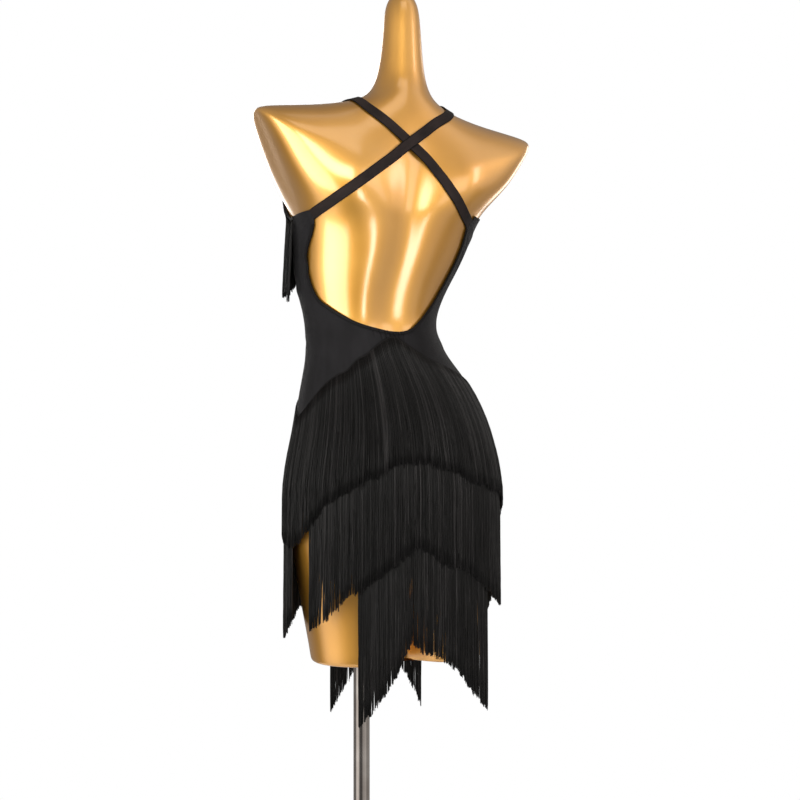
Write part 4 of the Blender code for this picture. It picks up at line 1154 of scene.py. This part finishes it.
def build_bust_fringe(name, table):
    """Short row under the neckline, hanging clear of the body below the bust."""
    ends = (table[0][0], table[-1][0])
    neckline = smooth_path(NECKLINE, 700)
    span = np.linspace(min(ends), max(ends), 400)
    edge = np.interp(-span, -neckline[:, 0], neckline[:, 1]) - BUST_FRINGE_TOP
    step = np.hypot(np.diff(span) * METRES_PER_DEGREE, np.diff(edge))
    length = np.concatenate([[0.0], np.cumsum(step)])
    degrees = np.interp(spaced(length[-1], BUST_PITCH), length, span)
    degrees = degrees[thin_out(degrees, name)]
    sewn = np.interp(degrees, span, edge)
    tip = by_angle(table, degrees)[0] + ragged(len(degrees))
    from_side = np.minimum(-degrees, 180.0 + degrees)
    widest = BUST["z"] + (sewn - BUST["z"]) * (1 - smooth_step(from_side, *CUP_FADES))
    paths, radius, tone = hang_strands(
        degrees, sewn, tip,
        lambda fall: BUST_FRINGE_START + BUST_FRINGE_SWING * fall / BUST_FRINGE_FALL,
        BUST_FRINGE_SPREAD, np.broadcast_to(widest[:, None], (len(degrees), STRAND_STEPS)))
    strands = make_tubes(name + "_strands", paths, STRAND_SIDES, radius, THREAD,
                         tone)
    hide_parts(name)
    return strands


# Form and stand

FORM_COLUMNS = 168
FORM_BOTTOM = 0.600
SOCKET_DEPTH = 0.060
SOCKET_RADIUS = 0.0128
SOCKET_ROWS = 8
STAND_SIDES = 128
# Turned discs: radii, heights and round top edge; the lower edge is eased twice
EASED = 0.001
EASED_LESS = 0.0003
BASE = {"outer": 0.155, "inner": 0.030, "low": 0.0, "high": 0.010, "edge": 0.003}
# The collar stands a hair above the base; the pole runs from inside it to just under
# the top of the form's socket
COLLAR_LOW = 0.0103
COLLAR = {"outer": 0.024, "inner": 0.0127, "low": COLLAR_LOW, "high": COLLAR_LOW + 0.022,
          "edge": 0.006}
POLE_RADIUS = 0.0125
POLE_LOW = COLLAR_LOW + 0.0043
POLE_HIGH = 0.6597
POLE_ROWS = 60


def end_fans(low_centre, high_centre, last, sides):
    """Triangles that close a tube of rings: first ring to one centre, last to the other."""
    index = np.arange(sides)
    following = np.roll(index, -1)
    return [np.stack([np.full(sides, low_centre), following, index], -1),
            np.stack([np.full(sides, high_centre), index + last, following + last], -1)]


def build_form():
    """Glossy shell of the form: the pole's socket, the flat foot, then the body's rings."""
    angle = np.linspace(0.0, 2 * math.pi, FORM_COLUMNS, endpoint=False)
    circle = np.stack([np.cos(angle), np.sin(angle), np.zeros(FORM_COLUMNS)], -1) * SOCKET_RADIUS
    top = FORM_BOTTOM + SOCKET_DEPTH
    socket = [circle + np.array([0.0, 0.0, height])
              for height in np.linspace(top, FORM_BOTTOM, SOCKET_ROWS)]
    # Close rows at the foot's round edge, even ones up the body, and the peg's top
    body_rings = np.concatenate([np.linspace(2.0, 4.5, 40), np.linspace(4.5, 38.0, 262)[1:],
                                 np.linspace(38.0, 38.95, 10)[1:]])
    body = form_surface(angle[None], body_rings[:, None])
    share = np.linspace(0.0, 1.0, 16)[1:-1, None, None]
    foot = socket[-1][None] * (1 - share) + body[:1] * share
    rows = np.concatenate([np.stack(socket), foot, body])
    above = rows[SOCKET_ROWS:-1, :, 2]
    rows[SOCKET_ROWS:-1, :, 2] = np.maximum(above, FORM_BOTTOM)
    points = np.vstack([rows.reshape(-1, 3), [[0.0, 0.0, top]],
                        form_surface(np.zeros(1), np.full(1, float(LAST_RING)))])
    sets = [grid_faces(len(rows), FORM_COLUMNS, wrap=True),
            *end_fans(len(points) - 2, len(points) - 1, (len(rows) - 1) * FORM_COLUMNS,
                      FORM_COLUMNS)]
    piece = make_mesh("form_shell", points, sets, GOLD)
    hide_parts("form_body")


def turned_piece(name, profile):
    """Solid turned about Z: each (radius, height) becomes a ring, ends closed by fans."""
    rings = np.array(profile)
    turn = np.linspace(0.0, 2 * math.pi, STAND_SIDES, endpoint=False)
    circle = np.stack([np.cos(turn), np.sin(turn), np.zeros(STAND_SIDES)], -1)
    rows = circle[None] * rings[:, :1, None] + np.array([0, 0, 1.0]) * rings[:, 1:, None]
    points = np.vstack([rows.reshape(-1, 3), [[0, 0, rings[0, 1]]], [[0, 0, rings[-1, 1]]]])
    sets = [grid_faces(len(rings), STAND_SIDES, wrap=True),
            *end_fans(len(points) - 2, len(points) - 1, (len(rings) - 1) * STAND_SIDES,
                      STAND_SIDES)]
    return make_mesh(name, points, sets, CHROME)


def disc_outline(outer, inner, low, high, edge, steps):
    """Outline of a turned disc: bottom edge, then a quarter round on its top edge."""
    turn = np.linspace(0.0, math.pi / 2, steps)
    arc = np.stack([outer - edge + edge * np.cos(turn), high - edge + edge * np.sin(turn)], -1)
    start = [(outer - EASED, low), (outer - EASED_LESS, low + EASED_LESS), (outer, low + EASED)]
    walls = np.linspace(low + EASED, high - edge, 4)[1:-1]
    return start + [(outer, z) for z in walls] + [tuple(p) for p in arc] + [(inner, high)]


def build_stand():
    """Round base plate, collar and pole of polished chrome."""
    base = turned_piece("base_disc", disc_outline(**BASE, steps=6))
    collar = turned_piece("collar_ring", disc_outline(**COLLAR, steps=10))
    pole = turned_piece("pole_tube", [(POLE_RADIUS, height) for height
                                      in np.linspace(POLE_LOW, POLE_HIGH, POLE_ROWS)])
    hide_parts("base_plate")
    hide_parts("pole_collar")
    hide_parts("pole")


# Studio

# Light of the room by its direction, as (angle, level), for low and high directions
ROOM_TINT = (1.0, 0.95, 0.91)
ROOM_LOW = ((-180.0, 0.34), (-60.0, 0.26), (-28.0, 0.16), (2.0, 1.10), (22.0, 1.00),
            (48.0, 0.12), (70.0, 0.10), (96.0, 0.50), (135.0, 0.62), (152.0, 0.24),
            (174.0, 0.46), (180.0, 0.34))
ROOM_HIGH = ((-180.0, 0.45), (-110.0, 0.22), (-30.0, 0.34), (20.0, 0.38), (68.0, 0.32),
             (110.0, 0.52), (152.0, 1.00), (180.0, 0.45))
# The low light turns into the high light over directions that rise by these slopes
ROOM_BLEND = (-0.16, 0.04)
# Softboxes: angle round the form (90 is straight behind the dress), distance,
# height, width, tall, watts, colour
SOFTBOXES = (
    ("softbox_left", 30.0, 1.75, 1.08, 1.40, 1.40, 24.0, (1.0, 0.98, 0.94)),
    ("softbox_over_camera", 69.0, 2.3, 1.74, 1.15, 0.80, 17.0, (1.0, 0.98, 0.94)),
    ("softbox_overhead", 84.0, 1.3, 2.90, 1.10, 0.70, 2.4, (1.0, 0.97, 0.92)),
    ("softbox_right", 112.0, 2.1, 1.62, 1.00, 0.85, 3.8, (1.0, 0.96, 0.90)),
    ("strip_low", 90.0, 2.3, 0.52, 0.36, 0.50, 4.4, (1.0, 0.98, 0.94)),
    ("strip_right", 140.0, 2.1, 1.95, 0.30, 0.80, 3.2, (1.0, 0.86, 0.82)),
    ("softbox_front", -95.0, 2.4, 1.70, 1.6, 1.2, 20.0, (1.0, 0.98, 0.96)),
    ("softbox_front_right", -150.0, 2.4, 1.40, 0.7, 1.6, 10.0, (1.0, 0.98, 0.96)),
)
LIT_MIDDLE = (FORM_OFFSET_X, 0.0, 1.05)
FLOOR_RADIUS = 0.80
FLOOR_HEIGHT = -0.0008
FLOOR_SIDES = 96
FLOOR_RINGS = 12
# Level camera: degrees from straight behind, height, sideways move, distance, lens
CAMERA_TURN = 22.0
CAMERA_HEIGHT = 1.0
CAMERA_SHIFTED = 0.0155
CAMERA_AWAY = 2.2
CAMERA_LENS = 63.86


def add_softboxes():
    """Rectangular area lights round the form, each looking at its middle."""
    middle = Vector(LIT_MIDDLE)
    for name, angle, away, up, width, height, power, colour in SOFTBOXES:
        light = bpy.data.lights.new(name, "AREA")
        light.shape = "RECTANGLE"
        light.size = width
        light.size_y = height
        light.energy = power
        light.color = colour
        lamp = bpy.data.objects.new(name, light)
        turn = math.radians(angle)
        spot = Vector((middle.x + away * math.cos(turn), middle.y + away * math.sin(turn), up))
        lamp.location = spot
        lamp.rotation_euler = (middle - spot).to_track_quat("-Z", "Y").to_euler()
        lamp.visible_camera = False
        bpy.context.scene.collection.objects.link(lamp)


def room_ramp(nodes, links, round_room, table):
    """Light of the room by direction, from its table of angles and levels."""
    return colour_ramp(nodes, links, round_room, [
        ((angle + 180.0) / 360.0, tuple(level * tint for tint in ROOM_TINT))
        for angle, level in table])


def build_room():
    """White surround, which lights and reflects as bright and dim walls."""
    world = bpy.data.worlds.new("studio")
    bpy.context.scene.world = world
    world.use_nodes = True
    nodes, links = world.node_tree.nodes, world.node_tree.links
    nodes.clear()
    place = nodes.new("ShaderNodeTexCoord")
    split = nodes.new("ShaderNodeSeparateXYZ")
    links.new(place.outputs["Generated"], split.inputs[0])
    turn = math_node(nodes, "ARCTAN2", split.outputs[1], split.outputs[0])
    round_room = math_node(nodes, "ADD", math_node(nodes, "DIVIDE", turn, 2 * math.pi), 0.5)
    low, high = ROOM_BLEND
    rise = math_node(nodes, "MULTIPLY", math_node(nodes, "SUBTRACT", split.outputs[2], low),
                     1 / (high - low), clamp=True)
    blend = nodes.new("ShaderNodeMix")
    blend.data_type = "RGBA"
    links.new(rise, blend.inputs["Factor"])
    links.new(room_ramp(nodes, links, round_room, ROOM_LOW), blend.inputs["A"])
    links.new(room_ramp(nodes, links, round_room, ROOM_HIGH), blend.inputs["B"])
    lit = nodes.new("ShaderNodeBackground")
    links.new(blend.outputs["Result"], lit.inputs[0])
    seen = nodes.new("ShaderNodeBackground")
    seen.inputs[0].default_value = (1.0, 1.0, 1.0, 1.0)
    path = nodes.new("ShaderNodeLightPath")
    mix = nodes.new("ShaderNodeMixShader")
    links.new(path.outputs["Is Camera Ray"], mix.inputs[0])
    links.new(lit.outputs[0], mix.inputs[1])
    links.new(seen.outputs[0], mix.inputs[2])
    out = nodes.new("ShaderNodeOutputWorld")
    links.new(mix.outputs[0], out.inputs[0])


def floor_material():
    """Pale paint that fades into the white surround towards the floor's edge."""
    material, nodes, links, shader = new_material("pale_floor_paint")
    shader.inputs["Base Color"].default_value = (0.80, 0.80, 0.80, 1.0)
    shader.inputs["Roughness"].default_value = 0.7
    place = nodes.new("ShaderNodeTexCoord")
    length = nodes.new("ShaderNodeVectorMath")
    length.operation = "LENGTH"
    links.new(place.outputs["Object"], length.inputs[0])
    edge = math_node(nodes, "DIVIDE", length.outputs["Value"], FLOOR_RADIUS)
    fade = colour_ramp(nodes, links, edge, ((0.35, (0.0, 0.0, 0.0)), (0.98, (1.0, 1.0, 1.0))))
    glow = nodes.new("ShaderNodeEmission")
    glow.inputs[0].default_value = (1.0, 1.0, 1.0, 1.0)
    blend = nodes.new("ShaderNodeMixShader")
    links.new(fade, blend.inputs[0])
    links.new(shader.outputs[0], blend.inputs[1])
    links.new(glow.outputs[0], blend.inputs[2])
    links.new(blend.outputs[0], nodes["Material Output"].inputs[0])
    return material


def build_floor():
    """Round floor of rings of faces about the stand."""
    turn = np.linspace(0.0, 2 * math.pi, FLOOR_SIDES, endpoint=False)
    radii = np.linspace(0.0, FLOOR_RADIUS, FLOOR_RINGS + 1)[1:, None]
    x, y = radii * np.cos(turn), radii * np.sin(turn)
    rings = np.stack([x, y, np.full(x.shape, FLOOR_HEIGHT)], -1).reshape(-1, 3)
    points = np.vstack([rings, [[0.0, 0.0, FLOOR_HEIGHT]]])
    index = np.arange(FLOOR_SIDES)
    middle = np.stack([np.full(FLOOR_SIDES, len(rings)), index, np.roll(index, -1)], -1)
    quads = grid_faces(FLOOR_RINGS, FLOOR_SIDES, wrap=True)[:, ::-1]
    mesh = bpy.data.meshes.new("pale_floor")
    mesh.from_pydata(points.tolist(), [], middle.tolist() + quads.tolist())
    mesh.materials.append(floor_material())
    floor = bpy.data.objects.new("pale_floor", mesh)
    bpy.context.scene.collection.objects.link(floor)


def build_camera():
    """Level camera behind the dress and a little to its left."""
    turn = math.radians(CAMERA_TURN)
    look = Vector((-math.sin(turn), -math.cos(turn), 0.0))
    right = Vector((-math.cos(turn), math.sin(turn), 0.0))
    aim = Vector((FORM_OFFSET_X, 0.0, CAMERA_HEIGHT)) + right * CAMERA_SHIFTED
    lens = bpy.data.cameras.new("camera")
    lens.lens = CAMERA_LENS
    lens.sensor_width = 36.0
    camera = bpy.data.objects.new("camera", lens)
    camera.location = aim - look * CAMERA_AWAY
    camera.rotation_euler = look.to_track_quat("-Z", "Y").to_euler()
    bpy.context.scene.collection.objects.link(camera)
    bpy.context.scene.camera = camera


def main():
    build_camera()
    build_stand()
    build_form()
    back = build_back()
    front = build_front()
    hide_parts("dress_back")
    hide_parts("dress_front")
    back_elastic, neck_elastic = build_bindings()
    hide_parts("binding_back")
    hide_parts("binding_neckline")
    for name, table in STRAPS.items():
        strap = build_strap(name + "_elastic", table, name == "strap_from_left_side")
        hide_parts(name)
    on_back, on_front = [back_elastic], [neck_elastic]
    for name, table in FRINGE_ROWS.items():
        (on_back if "back" in name else on_front).extend(build_fringe(name, table))
    for name, table in BUST_FRINGE.items():
        on_front.append(build_bust_fringe(name, table))
    build_room()
    add_softboxes()
    build_floor()
    bpy.context.scene.view_settings.view_transform = "Standard"


main()
